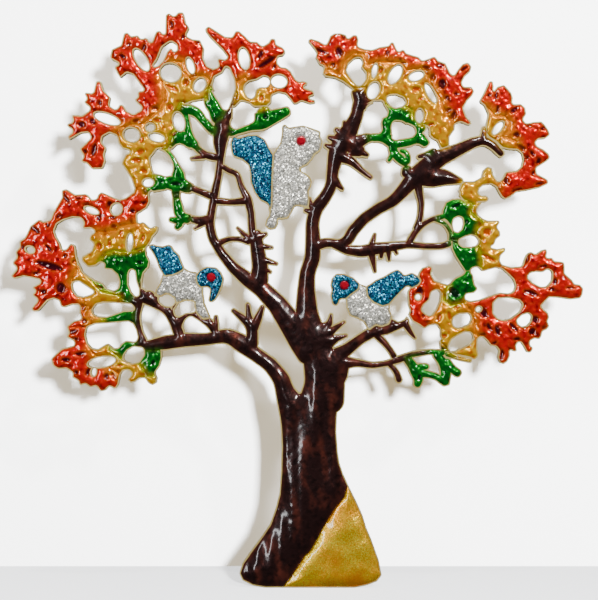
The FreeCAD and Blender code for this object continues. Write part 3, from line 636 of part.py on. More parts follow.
HOLES_BETWEEN = [
    [(27.9, 97.0), (29.0, 99.8), (31.0, 102.5), (33.5, 105.0), (34.2, 104.0), (34.0, 100.0),
     (34.3, 97.0), (34.2, 95.4), (33.0, 93.8), (31.0, 93.0), (29.0, 94.0), (28.0, 95.3)],
    [(-56.0, 115.0), (-54.0, 114.5), (-53.0, 112.0), (-51.5, 109.5), (-51.2, 107.0),
     (-52.5, 104.8), (-55.0, 104.3), (-57.0, 105.3), (-58.2, 107.0), (-57.3, 109.0),
     (-56.0, 111.5), (-55.7, 113.5)],
    [(-47.5, 97.0), (-46.0, 99.3), (-43.0, 100.3), (-40.3, 99.8), (-39.7, 97.5),
     (-40.5, 96.3), (-43.5, 96.0), (-45.7, 94.8), (-46.8, 95.0)],
    [(-25.5, 168.8), (-23.0, 170.0), (-21.5, 168.8), (-19.6, 167.8), (-19.6, 163.0),
     (-21.5, 162.0), (-24.0, 161.0), (-26.0, 160.2), (-27.5, 161.3), (-27.6, 163.0),
     (-25.6, 166.3)],
    [(21.5, 169.0), (24.5, 169.3), (26.0, 168.3), (27.2, 166.5), (26.7, 164.6),
     (25.3, 164.4), (24.7, 162.5), (25.0, 160.0), (24.4, 158.9), (21.0, 158.8),
     (18.8, 159.0), (18.3, 161.0), (18.8, 164.0), (19.3, 166.0), (20.2, 168.0)],
    [(48.5, 139.3), (51.0, 139.8), (52.3, 138.0), (51.8, 136.0), (50.0, 135.9),
     (48.5, 137.0)]]
OVALS_BETWEEN = [(-50.1, 100.4, 5.6, 4.0, -20.0)]

# Eye crystals: name and centre.
EYES = [
    ("squirrel_eye_crystal", -3.1, 156.0), ("left_bird_eye_crystal", -34.5, 108.4),
    ("right_bird_eye_crystal", 12.0, 105.6)]


# ---------------------------------------------------------------- drawing helpers
def in_plate(x, z):
    return FreeCAD.Vector(x, 0.0, z)


def clean_loop(points):
    """The corners of a loop in one turning sense, with near-doubles merged."""
    kept = []
    for point in points:
        if not kept or math.dist(point, kept[-1]) > 0.05:
            kept.append(point)
    if math.dist(kept[0], kept[-1]) < 0.05:
        kept.pop()
    twice_area = 0.0
    for (x0, z0), (x1, z1) in zip(kept, kept[1:] + kept[:1]):
        twice_area += x0 * z1 - x1 * z0
    return kept if twice_area > 0.0 else kept[::-1]


def rounded_face(points, radius):
    """A flat face inside a loop of straight runs with every corner rounded."""
    points = clean_loop(points)
    count = len(points)
    starts = []
    middles = []
    ends = []
    for i in range(count):
        before = in_plate(*points[i - 1])
        corner = in_plate(*points[i])
        after = in_plate(*points[(i + 1) % count])
        back = before - corner
        ahead = after - corner
        reach = 0.46 * min(back.Length, ahead.Length)
        back.normalize()
        ahead.normalize()
        half = 0.5 * back.getAngle(ahead)
        trim = min(reach, radius / max(math.tan(half), 1e-6))
        bisector = back + ahead
        if bisector.Length < 1e-3:
            starts.append(corner)
            middles.append(None)
            ends.append(corner)
            continue
        bisector.normalize()
        arc_radius = trim * math.tan(half)
        centre = corner + bisector * (trim / math.cos(half))
        starts.append(corner + back * trim)
        middles.append(centre - bisector * arc_radius)
        ends.append(corner + ahead * trim)
    edges = []
    for i in range(count):
        if middles[i] is not None:
            edges.append(Part.Arc(starts[i], middles[i], ends[i]).toShape())
        following = starts[(i + 1) % count]
        if ends[i].distanceToPoint(following) > 1e-4:
            edges.append(Part.LineSegment(ends[i], following).toShape())
    return Part.Face(Part.Wire(edges))


def oval_face(across, up, length, width, tilt, grow=0.0):
    """An ellipse with its long axis tilted from +X towards +Z, in degrees."""
    long_half = 0.5 * length + grow
    short_half = 0.5 * width + grow
    if short_half > long_half:
        long_half, short_half = short_half, long_half
        tilt = tilt + 90.0
    turn = math.radians(tilt)
    centre = in_plate(across, up)
    long_end = centre + in_plate(math.cos(turn), math.sin(turn)) * long_half
    short_end = centre + in_plate(-math.sin(turn), math.cos(turn)) * short_half
    if abs(long_half - short_half) < 1e-3:
        ring = Part.Circle(centre, FreeCAD.Vector(0.0, -1.0, 0.0), long_half)
    else:
        ring = Part.Ellipse(long_end, short_end, centre)
    return Part.Face(Part.Wire([ring.toShape()]))


def limb_face(centre_line, radius, grow=0.0, root=None):
    """A tapering limb drawn round its centre line, its ends rounded off.

    A root reaches back that far into whatever the limb springs from."""
    left = []
    right = []
    count = len(centre_line)
    for i, (x, z, width) in enumerate(centre_line):
        x0, z0, _ = centre_line[max(i - 1, 0)]
        x1, z1, _ = centre_line[min(i + 1, count - 1)]
        run = math.hypot(x1 - x0, z1 - z0)
        along = ((x1 - x0) / run, (z1 - z0) / run)
        half = 0.5 * width + grow
        if half < 0.12:
            half = 0.12
        shift = 0.0
        if i == 0:
            shift = -grow if root is None else -root
        if i == count - 1:
            shift = grow
        x = x + along[0] * shift
        z = z + along[1] * shift
        left.append((x - along[1] * half, z + along[0] * half))
        right.append((x + along[1] * half, z - along[0] * half))
    return rounded_face(left + right[::-1], radius)


def shrunk(face, distance):
    """The face with its outside edge moved inwards."""
    return face.makeOffset2D(-distance, 0, False, False, False)


def tiles_of(groups):
    """Flat tiles, none overlapping, each with the names of the groups that cover it."""
    faces = []
    owners = []
    for name, members in groups:
        faces.extend(members)
        owners.extend([name] * len(members))
    origins = faces[0].generalFuse(faces[1:])[1]
    tiles = {}
    covers = {}
    for face, owner, pieces in zip(faces, owners, origins):
        for tile in Part.makeCompound(pieces or [face]).Faces:
            middle = tile.CenterOfMass
            spot = (round(middle.x, 4), round(middle.z, 4), round(tile.Area, 4))
            tiles[spot] = tile
            covers.setdefault(spot, set()).add(owner)
    return [(tiles[spot], covers[spot]) for spot in tiles]


def joined(tiles):
    """Tiles that share edges made into single clean faces; specks are dropped."""
    faces = Part.makeShell(tiles).removeSplitter().Faces
    return Part.makeCompound([face for face in faces if face.Area > size("least_cell")])


def covers_spot(faces, x, z):
    """Whether the spot lies on one of the flat faces."""
    spot = in_plate(x, z)
    near = [face for face in faces.Faces if face.BoundBox.isInside(spot)]
    return any(face.isInside(spot, 1e-4, True) for face in near)


# ---------------------------------------------------------------- the flat drawing
rim = size("rim_width")
crown_loops = [CROWN_TOP_LEFT, CROWN_TOP_MID, CROWN_LEFT, CROWN_TOP_RIGHT, CROWN_RIGHT,
               CROWN_LOW_RIGHT, TRUNK]
crowns = [rounded_face(loop, size("crown_round")) for loop in crown_loops]
root = size("limb_root")
brown = size("brown_fullness")
green = size("green_fullness")
limbs = ([limb_face(line, size("limb_round"), brown, root) for line in BROWN_LIMBS]
         + [limb_face(line, size("limb_round"), green) for line in GREEN_LIMBS])
hole_loops = HOLES_LEFT + HOLES_TOP_LEFT + HOLES_RIGHT_TOP + HOLES_LOW_RIGHT + HOLES_BETWEEN
hole_ovals = OVALS_LEFT + OVALS_RIGHT_TOP + OVALS_LOW_RIGHT + OVALS_BETWEEN
holes = [rounded_face(loop, size("hole_round")) for loop in hole_loops]
ovals = [oval_face(*oval) for oval in hole_ovals]
animals = [(name, rounded_face(loop, size("animal_round"))) for name, loop in ANIMALS]

outline_tiles = tiles_of([("metal", crowns + limbs), ("open", holes + ovals),
                          ("animal", [face for _, face in animals])])
silhouette = joined([tile for tile, covers in outline_tiles
                     if "animal" in covers or "open" not in covers])

# The cells stand a rim's width inside every edge of the metal.
inner_crowns = [shrunk(face, rim) for face in crowns]
inner_limbs = ([limb_face(line, size("limb_round"), brown - rim, root) for line in BROWN_LIMBS]
               + [limb_face(line, size("limb_round"), green - rim) for line in GREEN_LIMBS])
wide_holes = [shrunk(face, -rim) for face in holes]
wide_ovals = [oval_face(*oval, grow=rim) for oval in hole_ovals]
areas = [(name, [rounded_face(loop, size("zone_round")) for loop in loops]) for name, loops in AREAS]
paint_tiles = tiles_of([("cell", inner_crowns + inner_limbs),
                        ("edge", wide_holes + wide_ovals + [face for _, face in animals])] + areas)
cell_tiles = {}
for tile, covers in paint_tiles:
    if "cell" in covers and "edge" not in covers:
        owner = "trunk_and_branches_lacquer"
        for name, _ in areas:
            if name in covers:
                owner = name
                break
        cell_tiles.setdefault(owner, []).append(tile)
cells = [(owner, joined(tiles)) for owner, tiles in cell_tiles.items()]

animal_tiles = tiles_of([(name, [face]) for name, face in animals]
                        + [("inner_" + name, [shrunk(face, rim)]) for name, face in animals])
for place, (name, _) in enumerate(animals):
    over = set(upper for upper, _ in animals[:place])
    cells.append((name, joined([tile for tile, covers in animal_tiles
                                if "inner_" + name in covers and not covers & over])))


# ---------------------------------------------------------------- the solids
def bind(part, **formulas):
    """Ties properties to the sheet; two underscores in a name stand for a dot."""
    for name, formula in formulas.items():
        part.setExpression(name.replace("__", "."), formula)


def drawing(name, faces):
    part = document.addObject("Part::Feature", name)
    part.Shape = faces
    return part


def raised(name, faces, depth):
    """The flat faces thickened backwards, away from the front."""
    part = document.addObject("Part::Extrusion", name)
    part.Base = drawing(name + "_drawing", faces)
    part.DirMode = "Custom"
    part.Dir = FreeCAD.Vector(0.0, 1.0, 0.0)
    part.Solid = True
    bind(part, LengthFwd=depth)
    return part


def moved_back(shape, depth):
    copy = shape.copy()
    copy.translate(FreeCAD.Vector(0.0, depth, 0.0))
    return copy


def disc_wire(x, y, z, radius):
    centre = FreeCAD.Vector(x, y, z)
    return Part.Wire([Part.Circle(centre, FreeCAD.Vector(0.0, -1.0, 0.0), radius).toShape()])


def tray(outline, sunk, sockets):
    """A plate with flat cells sunk in its front and round sockets in its back."""
    thickness = size("plate_thickness")
    depth = size("cell_depth")
    socket_depth = size("rivet_sunk")
    faces = list(outline.cut(sunk).Faces)
    faces += moved_back(sunk, depth).Faces
    back_wires = list(moved_back(outline, thickness).Faces[0].Wires)
    for x, z in sockets:
        mouth = disc_wire(x, thickness, z, size("rivet_shank"))
        back_wires.append(mouth)
        faces += mouth.extrude(FreeCAD.Vector(0.0, -socket_depth, 0.0)).Faces
        faces.append(Part.Face(disc_wire(x, thickness - socket_depth, z, size("rivet_shank"))))
    faces.append(Part.Face(back_wires, "Part::FaceMakerBullseye"))
    for wire in outline.Wires:
        faces += wire.extrude(FreeCAD.Vector(0.0, thickness, 0.0)).Faces
    for wire in sunk.Wires:
        faces += wire.extrude(FreeCAD.Vector(0.0, depth, 0.0)).Faces
    skin = Part.makeShell(faces)
    skin.sewShape()
    solid = Part.makeSolid(skin.Shells[0])
    if solid.Volume < 0.0:
        solid.reverse()
    return solid


def sketch_in(body, name, role):
    sketch = body.newObject("Sketcher::SketchObject", name)
    plane = [feature for feature in body.Origin.OriginFeatures if feature.Role == role][0]
    sketch.AttachmentSupport = [(plane, "")]
    sketch.MapMode = "FlatFace"
    return sketch


def add_circle(sketch, x, y, radius, formulas):
    """A circle whose centre and radius follow the sheet: formulas for x, y, radius."""
    index = sketch.addGeometry(Part.Circle(FreeCAD.Vector(x, y, 0.0),
                                           FreeCAD.Vector(0.0, 0.0, 1.0), radius), False)
    names = [sketch.Name + "_%s%d" % (word, index) for word in ("across", "up", "radius")]
    x_formula, y_formula, radius_formula = formulas
    if x_formula is None:
        sketch.addConstraint(Sketcher.Constraint("PointOnObject", index, 3, -2))
    else:
        number = sketch.addConstraint(Sketcher.Constraint("DistanceX", -1, 1, index, 3, x))
        sketch.renameConstraint(number, names[0])
        sketch.setExpression("Constraints." + names[0], x_formula)
    if y_formula is None:
        sketch.addConstraint(Sketcher.Constraint("PointOnObject", index, 3, -1))
    else:
        number = sketch.addConstraint(Sketcher.Constraint("DistanceY", -1, 1, index, 3, y))
        sketch.renameConstraint(number, names[1])
        sketch.setExpression("Constraints." + names[1], y_formula)
    number = sketch.addConstraint(Sketcher.Constraint("Radius", index, radius))
    sketch.renameConstraint(number, names[2])
    sketch.setExpression("Constraints." + names[2], radius_formula)


def add_outline(sketch, corners):
    """A closed run of lines; each corner is (x, y, x formula, y formula).

    A formula of None leaves that coordinate on the axis, where it is nought."""
    count = len(corners)
    for i in range(count):
        x0, y0 = corners[i][:2]
        x1, y1 = corners[(i + 1) % count][:2]
        sketch.addGeometry(Part.LineSegment(FreeCAD.Vector(x0, y0, 0.0),
                                            FreeCAD.Vector(x1, y1, 0.0)), False)
    for i in range(count):
        sketch.addConstraint(Sketcher.Constraint("Coincident", i, 2, (i + 1) % count, 1))
    for i, (x, y, x_formula, y_formula) in enumerate(corners):
        for word, value, formula, axis in (("DistanceX", x, x_formula, -2),
                                           ("DistanceY", y, y_formula, -1)):
            if formula is None:
                sketch.addConstraint(Sketcher.Constraint("PointOnObject", i, 1, axis))
            else:
                number = sketch.addConstraint(Sketcher.Constraint(word, -1, 1, i, 1, value))
                name = "corner%d_%s" % (i, word)
                sketch.renameConstraint(number, name)
                sketch.setExpression("Constraints." + name, formula)


def turned_body(name, corners, placement):
    """A body turned about the plate's normal; x is the radius and y the depth."""
    body = document.addObject("PartDesign::Body", name)
    sketch = sketch_in(body, name + "_section", "XY_Plane")
    add_outline(sketch, corners)
    turn = body.newObject("PartDesign::Revolution", name + "_turn")
    turn.Profile = sketch
    turn.ReferenceAxis = (sketch, ["V_Axis"])
    turn.Angle = 360.0
    sketch.Visibility = False
    bind(body, Placement__Base__x=placement[0], Placement__Base__y=placement[1],
         Placement__Base__z=placement[2])
    return body


finished = []
drop = size("hinge_height") - size("rivet_first_drop")
rivet_spots = [(size("hanger_across"), drop),
               (size("hanger_across"), drop - size("rivet_pitch"))]
sunk_cells = joined([face for _, cell in cells for face in cell.Faces])
casting = document.addObject("Part::Feature", "tree_casting")
casting.Shape = tray(silhouette, sunk_cells, rivet_spots)
bind(casting, Placement__Base__y="-dimensions.plate_thickness / 2")
finished.append(casting)

well_ovals = (WELLS_RED_LEFT + WELLS_AMBER_LEFT + WELLS_RED_RIGHT + WELLS_AMBER_RIGHT
              + WELLS_RED_LOW + WELLS_AMBER_LOW + WELLS_GREEN)
for name, cell in cells:
    glitter = name.endswith("_glitter")
    if glitter:
        held = [oval_face(x, z, 2.0 * size("crystal_radius"), 2.0 * size("crystal_radius"), 0.0)
                for _, x, z in EYES if covers_spot(cell, x, z)]
    else:
        held = [oval_face(*oval) for oval in well_ovals if covers_spot(cell, oval[0], oval[1])]
    layer = raised(name + "_layer" if held else name, cell, "dimensions.lacquer_depth")
    part = layer
    if held:
        part = document.addObject("Part::Cut", name)
        part.Base = layer
        part.Tool = raised(name + "_pools", Part.makeCompound(held),
                           "dimensions.lacquer_depth" if glitter else "dimensions.well_depth")
    bind(part, Placement__Base__y="dimensions.cell_depth - dimensions.lacquer_depth"
                                  " - dimensions.plate_thickness / 2")
    finished.append(part)

# Eye crystals: a drum let into the glitter, with a bevelled crown and a flat table.
for name, x, z in EYES:
    girdle = size("cell_depth") + size("crystal_proud")
    crown = girdle + size("crystal_crown")
    girdle_formula = "-(dimensions.cell_depth + dimensions.crystal_proud)"
    crown_formula = girdle_formula + " - dimensions.crystal_crown"
    finished.append(turned_body(name, [
        (0.0, 0.0, None, None),
        (size("crystal_radius"), 0.0, "dimensions.crystal_radius", None),
        (size("crystal_radius"), -girdle, "dimensions.crystal_radius", girdle_formula),
        (size("crystal_table"), -crown, "dimensions.crystal_table", crown_formula),
        (0.0, -crown, None, crown_formula)],
        (str(x), "dimensions.cell_depth - dimensions.plate_thickness / 2", str(z))))

# Rivets: a domed head behind the strap and a shank sunk in the back of the plate.
for name, lower in (("hanger_rivet_upper", 0), ("hanger_rivet_lower", 1)):
    head = size("rivet_head_height")
    tip = size("strap_gauge") + size("rivet_sunk")
    tip_formula = "-(dimensions.strap_gauge + dimensions.rivet_sunk)"
    finished.append(turned_body(name, [
        (0.0, -tip, None, tip_formula),
        (size("rivet_shank"), -tip, "dimensions.rivet_shank", tip_formula),
        (size("rivet_shank"), 0.0, "dimensions.rivet_shank", None),
        (size("rivet_head"), 0.0, "dimensions.rivet_head", None),
        (size("rivet_shank"), head, "dimensions.rivet_shank", "dimensions.rivet_head_height"),
        (0.0, head, None, "dimensions.rivet_head_height")],
        ("dimensions.hanger_across",
         "dimensions.plate_thickness / 2 + dimensions.strap_gauge",
         "dimensions.hinge_height - dimensions.rivet_first_drop - %d * dimensions.rivet_pitch"
         % lower)))

# Hanger strap: a flat tongue with two rivet holes and a curl that holds the ring.
strap = document.addObject("PartDesign::Body", "hanger_strap")
tongue_sketch = sketch_in(strap, "tongue_outline", "XZ_Plane")
half_width = size("strap_width") / 2.0
top = -size("strap_top_gap")
foot = -size("strap_length")
half_formula = "dimensions.strap_width / 2"
add_outline(tongue_sketch, [
    (-half_width, foot, "-" + half_formula, "-dimensions.strap_length"),
    (half_width, foot, half_formula, "-dimensions.strap_length"),
    (half_width, top, half_formula, "-dimensions.strap_top_gap"),
    (-half_width, top, "-" + half_formula, "-dimensions.strap_top_gap")])
tongue = strap.newObject("PartDesign::Pad", "tongue")
tongue.Profile = tongue_sketch
tongue.Reversed = True
bind(tongue, Length="dimensions.strap_gauge")
curl_sketch = sketch_in(strap, "curl_section", "YZ_Plane")
curl_middle = size("curl_bore") + size("strap_gauge")
curl_formula = "dimensions.curl_bore + dimensions.strap_gauge"
add_circle(curl_sketch, curl_middle, 0.0, curl_middle, (curl_formula, None, curl_formula))
add_circle(curl_sketch, curl_middle, 0.0, size("curl_bore"),
           (curl_formula, None, "dimensions.curl_bore"))
bind(curl_sketch, AttachmentOffset__Base__z="-dimensions.curl_length / 2")
curl = strap.newObject("PartDesign::Pad", "curl")
curl.Profile = curl_sketch
bind(curl, Length="dimensions.curl_length")
document.recompute()
hole_sketch = sketch_in(strap, "rivet_holes_plan", "XZ_Plane")
first = -size("rivet_first_drop")
add_circle(hole_sketch, 0.0, first, size("rivet_shank"),
           (None, "-dimensions.rivet_first_drop", "dimensions.rivet_shank"))
add_circle(hole_sketch, 0.0, first - size("rivet_pitch"), size("rivet_shank"),
           (None, "-dimensions.rivet_first_drop - dimensions.rivet_pitch",
            "dimensions.rivet_shank"))
uncut = strap.Shape.Volume
rivet_holes = strap.newObject("PartDesign::Pocket", "rivet_holes")
rivet_holes.Profile = hole_sketch
rivet_holes.Type = "ThroughAll"
document.recompute()
if abs(uncut - strap.Shape.Volume) < 1e-6:
    rivet_holes.Reversed = True
bind(strap, Placement__Base__x="dimensions.hanger_across",
     Placement__Base__y="dimensions.plate_thickness / 2",
     Placement__Base__z="dimensions.hinge_height")
finished.append(strap)

# Hanging ring: a flat stamped ring that turns in the curl.
ring = document.addObject("PartDesign::Body", "hanging_ring")
ring_sketch = sketch_in(ring, "ring_plan", "XZ_Plane")
ring_centre = size("ring_bore") + size("ring_band") / 2.0
ring_formula = "dimensions.ring_bore + dimensions.ring_band / 2"
add_circle(ring_sketch, 0.0, ring_centre, size("ring_bore") + size("ring_band"),
           (None, ring_formula, "dimensions.ring_bore + dimensions.ring_band"))
add_circle(ring_sketch, 0.0, ring_centre, size("ring_bore"),
           (None, ring_formula, "dimensions.ring_bore"))
ring_pad = ring.newObject("PartDesign::Pad", "ring_band")
ring_pad.Profile = ring_sketch
ring_pad.Reversed = True
bind(ring_pad, Length="dimensions.ring_gauge")
bind(ring, Placement__Base__x="dimensions.hanger_across",
     Placement__Base__y="dimensions.plate_thickness / 2 + dimensions.curl_bore"
                        " + dimensions.strap_gauge - dimensions.ring_gauge / 2",
     Placement__Base__z="dimensions.hinge_height")
finished.append(ring)

document.recompute()
for part in document.Objects:
    if "Invalid" in part.State or "Error" in part.State:
        raise RuntimeError("%s did not build: %s" % (part.Label, part.State))
os.makedirs("parts", exist_ok=True)
for part in finished:
    if part.Shape.isNull() or not part.Shape.isValid():
        raise RuntimeError("%s has no sound shape" % part.Label)
    part.Shape.exportStep("parts/%s.step" % part.Label)
    box = part.Shape.BoundBox
    print("%-28s %3d solids %9.1f mm3  y %.2f..%.2f" % (
        part.Label, len(part.Shape.Solids), part.Shape.Volume, box.YMin, box.YMax))
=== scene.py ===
import json
import math

import bmesh
import bpy
import numpy as np
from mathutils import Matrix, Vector, noise
from mathutils.geometry import delaunay_2d_cdt
from mathutils.kdtree import KDTree


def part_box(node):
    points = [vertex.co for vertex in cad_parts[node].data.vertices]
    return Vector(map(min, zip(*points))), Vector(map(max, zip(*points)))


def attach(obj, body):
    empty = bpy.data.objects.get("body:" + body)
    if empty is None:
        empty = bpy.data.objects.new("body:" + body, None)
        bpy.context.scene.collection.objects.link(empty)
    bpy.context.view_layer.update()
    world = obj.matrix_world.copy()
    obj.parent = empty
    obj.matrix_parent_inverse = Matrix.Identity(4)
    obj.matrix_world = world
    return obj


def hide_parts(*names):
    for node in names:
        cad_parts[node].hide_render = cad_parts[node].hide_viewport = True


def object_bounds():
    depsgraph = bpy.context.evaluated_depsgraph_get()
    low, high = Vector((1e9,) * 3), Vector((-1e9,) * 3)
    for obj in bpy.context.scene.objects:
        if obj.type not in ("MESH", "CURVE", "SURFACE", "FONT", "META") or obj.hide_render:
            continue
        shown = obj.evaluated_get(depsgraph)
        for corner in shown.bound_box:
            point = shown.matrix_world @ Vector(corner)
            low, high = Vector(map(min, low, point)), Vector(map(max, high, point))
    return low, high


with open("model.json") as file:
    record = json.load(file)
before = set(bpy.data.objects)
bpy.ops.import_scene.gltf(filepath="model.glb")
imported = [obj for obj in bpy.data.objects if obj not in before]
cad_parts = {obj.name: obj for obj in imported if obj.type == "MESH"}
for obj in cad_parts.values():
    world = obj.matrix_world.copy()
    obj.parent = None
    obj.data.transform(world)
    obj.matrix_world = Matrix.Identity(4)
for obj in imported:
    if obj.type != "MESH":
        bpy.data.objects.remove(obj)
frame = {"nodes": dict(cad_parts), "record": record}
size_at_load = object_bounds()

# A flat cast tree with coloured lacquer in its cells. The CAD's casting and hanger
# keep their own meshes; each lacquer, glitter and crystal node is replaced by a
# domed or cut piece that is built from that node's own outline.

MM = 0.001
nodes = frame["nodes"]
SLOTS = {row["node"]: row["material_slot"] for row in frame["record"]["subparts"]}

# ------------------------------------------------------------------ colours
# Each lacquer has a shade for its common depth, one where it is thin over the
# metal, and one where it stands deep in a pool.
GOLD = (1.0, 0.72, 0.26)
BRASS = (0.62, 0.45, 0.20)
RUBY = (0.75, 0.004, 0.03)
PALETTE = {
    "red": {"film": (0.90, 0.003, 0.006), "thin": (1.0, 0.10, 0.004), "pool": (0.06, 0.0, 0.006)},
    "amber": {"film": (1.0, 0.42, 0.0), "thin": (1.0, 0.68, 0.01), "pool": (0.70, 0.10, 0.0)},
    "green": {"film": (0.0, 0.13, 0.009), "thin": (0.008, 0.42, 0.018), "pool": (0.0, 0.018, 0.003)},
    "brown": {"film": (0.024, 0.0070, 0.0065), "thin": (0.16, 0.034, 0.020), "pool": (0.005, 0.001, 0.001)},
}


def family(node):
    """The lacquer colour of a node, or None for glitter, crystal and metal."""
    for name in ("red", "amber", "green"):
        if node.startswith(name + "_") and node.endswith("_lacquer"):
            return name
    if node == "trunk_and_branches_lacquer":
        return "brown"
    return None


# ------------------------------------------------------------------ reading a cell from its CAD node
POOL_DROP = 0.1 * MM
FACES_FRONT = -0.9


def flat_rings(node):
    """Edges of a cell's outline and of its sunken pools, seen from the front, in mm."""
    mesh = nodes[node].data
    outline = {}
    pools = {}
    level = min(v.co.y for v in mesh.vertices)
    for face in mesh.polygons:
        if face.normal.y > FACES_FRONT:
            continue
        corners = []
        for index in face.vertices:
            co = mesh.vertices[index].co
            corners.append((round(co.x / MM, 3), round(co.z / MM, 3)))
        sunk = face.center.y > level + POOL_DROP
        for a, b in zip(corners, corners[1:] + corners[:1]):
            if a == b:
                continue
            key = (min(a, b), max(a, b))
            outline[key] = outline.get(key, 0) + 1
            if sunk:
                pools[key] = pools.get(key, 0) + 1
    outline = [key for key, uses in outline.items() if uses == 1]
    pools = [key for key, uses in pools.items() if uses == 1]
    return outline, pools


def cut_edges(edges, step):
    """The edges cut into runs no longer than step: points and index pairs."""
    points = []
    place = {}
    runs = []

    def number(point):
        key = (round(point[0], 4), round(point[1], 4))
        if key not in place:
            place[key] = len(points)
            points.append(key)
        return place[key]

    for a, b in edges:
        count = max(1, math.ceil(math.dist(a, b) / step))
        last = number(a)
        for i in range(1, count + 1):
            t = i / count
            following = number((a[0] + (b[0] - a[0]) * t, a[1] + (b[1] - a[1]) * t))
            if following != last:
                runs.append((last, following))
            last = following
    return points, runs


FAR = 1000.0
TINY = 1e-12
INSIDE_BATCH = 2000


def inside(points, edges):
    """Even-odd test of many points against an outline."""
    points = np.asarray(points, float).reshape(-1, 2)
    ends = np.asarray(edges, float).reshape(-1, 4)
    x0, z0, x1, z1 = ends.T
    rise = np.where(np.abs(z1 - z0) < TINY, TINY, z1 - z0)
    result = np.zeros(len(points), bool)
    for start in range(0, len(points), INSIDE_BATCH):
        px = points[start:start + INSIDE_BATCH, 0][:, None]
        pz = points[start:start + INSIDE_BATCH, 1][:, None]
        crosses = (z0 > pz) != (z1 > pz)
        at = x0 + (pz - z0) * (x1 - x0) / rise
        result[start:start + INSIDE_BATCH] = (np.sum(crosses & (px < at), axis=1) % 2) == 1
    return result


def tree_of(points):
    """A search tree of flat points, for nearest distances."""
    tree = KDTree(max(len(points), 1))
    for index, (x, z) in enumerate(points):
        tree.insert((x, z, 0.0), index)
    tree.balance()
    return tree


def distance(tree, x, z):
    """How far a point is from the nearest point of a search tree."""
    hit = tree.find((x, z, 0.0))
    return hit[2] if hit[2] is not None else FAR


MERGE = 1e-5


def triangles(points, runs, edges):
    """Triangles of the points that lie inside the outline."""
    result = delaunay_2d_cdt([Vector(p) for p in points], runs, [], 0, MERGE)
    verts = result[0]
    faces = result[2]
    middles = [sum((verts[i] for i in face), Vector((0.0, 0.0))) / 3.0 for face in faces]
    keep = inside([(m.x, m.y) for m in middles], edges)
    return verts, [face for face, good in zip(faces, keep) if good]


# ------------------------------------------------------------------ relief of the lacquer
# height of each dome and how far in from its edge it rises, in mm
DOMES = {
    "red": (0.62, 0.8),
    "amber": (0.62, 0.8),
    "green": (0.7, 0.8),
    "brown": (2.3, 3.4),
    "ground": (1.5, 2.6),
    "animal": (0.6, 1.1),
}
EDGE_EASE = 0.6
TRUNK_TOP = 78.0
TRUNK_FADE = 20.0
LIP_RISE = 0.16
LIP_WIDTH = 0.32
POOL_SINK = 0.62
POOL_EASE = 0.28
# waves: strength, cells per mm across and up, and the slice of noise they use
LEAF_SWELL = (0.34, 0.6, 0.6, 3.0)
LEAF_RIDGE = (0.34, 0.85, 0.85, 11.0)
BARK_SWELL = (0.12, 0.30, 0.045, 5.0)
BARK_RIDGE = (0.24, 0.9, 0.35, 9.0)
GROUND_SWELL = (0.45, 0.17, 0.17, 2.0)
TRUNK_GAIN = 6.25


def swell(wave, x, z):
    """Smooth noise about zero."""
    strength, across, up, layer = wave
    return strength * noise.noise(Vector((x * across, z * up, layer)))


def ridge(wave, x, z):
    """Noise folded into narrow crests."""
    return wave[0] * 0.5 - abs(swell(wave, x, z))


def relief(kind, x, z, depth_in, pool_in):
    """Height in mm of the surface over the cell's own front, towards the viewer."""
    rise, reach = DOMES[kind]
    height = rise * (1.0 - math.exp(-depth_in / reach))
    ease = 1.0 - math.exp(-depth_in / EDGE_EASE)
    if kind in ("red", "amber", "green"):
        height += ease * (swell(LEAF_SWELL, x, z) + ridge(LEAF_RIDGE, x, z))
    elif kind == "brown":
        trunk = max(0.0, min(1.0, (TRUNK_TOP - z) / TRUNK_FADE))
        height += ease * (1.0 + TRUNK_GAIN * trunk) * swell(BARK_SWELL, x, z)
        height += ease * ridge(BARK_RIDGE, x, z)
    elif kind == "ground":
        height += ease * swell(GROUND_SWELL, x, z)
    if pool_in is not None:
        lip = math.exp(-(pool_in / LIP_WIDTH) ** 2)
        bowl = 0.5 + 0.5 * math.tanh(pool_in / POOL_EASE)
        height += LIP_RISE * lip - POOL_SINK * bowl
    return height


def mix(a, b, t):
    """A colour t of the way from a to b."""
    return tuple(p + (q - p) * t for p, q in zip(a, b))


CELL_NODES = [name for name in nodes if name.endswith(("_lacquer", "_glitter"))]
RINGS = {name: flat_rings(name) for name in CELL_NODES}
BLEND_STEP = 0.5
FAMILY_POINTS = {}
for name in CELL_NODES:
    kind = family(name)
    if kind:
        FAMILY_POINTS.setdefault(kind, []).extend(cut_edges(RINGS[name][0], BLEND_STEP)[0])
FAMILY_TREES = {kind: tree_of(points) for kind, points in FAMILY_POINTS.items()}
BLEND_REACH = {"red": 1.7, "amber": 1.7, "green": 0.9, "brown": 0.8}
BARK_STREAK = (1.0, 0.32, 0.11, 31.0)
BARK_FLECK = (0.4, 0.8, 0.4, 35.0)
STREAK_START = 0.04
STREAK_GAIN = 1.1
BARK_EDGE = 0.5
BARK_EDGE_SHARE = 0.8
LEAF_EDGE = 0.45
THIN_PATCH = (0.55, 0.8, 0.8, 21.0)
LIP_REACH = 0.6
LIP_PLACE = 0.15
LIP_SPREAD = 0.28
LIP_SHARE = 0.8
DEEP_PATCH = (1.5, 0.65, 0.65, 41.0)
DEEP_START = 0.075
DEEP_MOST = 0.8
POOL_SHORE = 0.1
POOL_FADE = 0.24


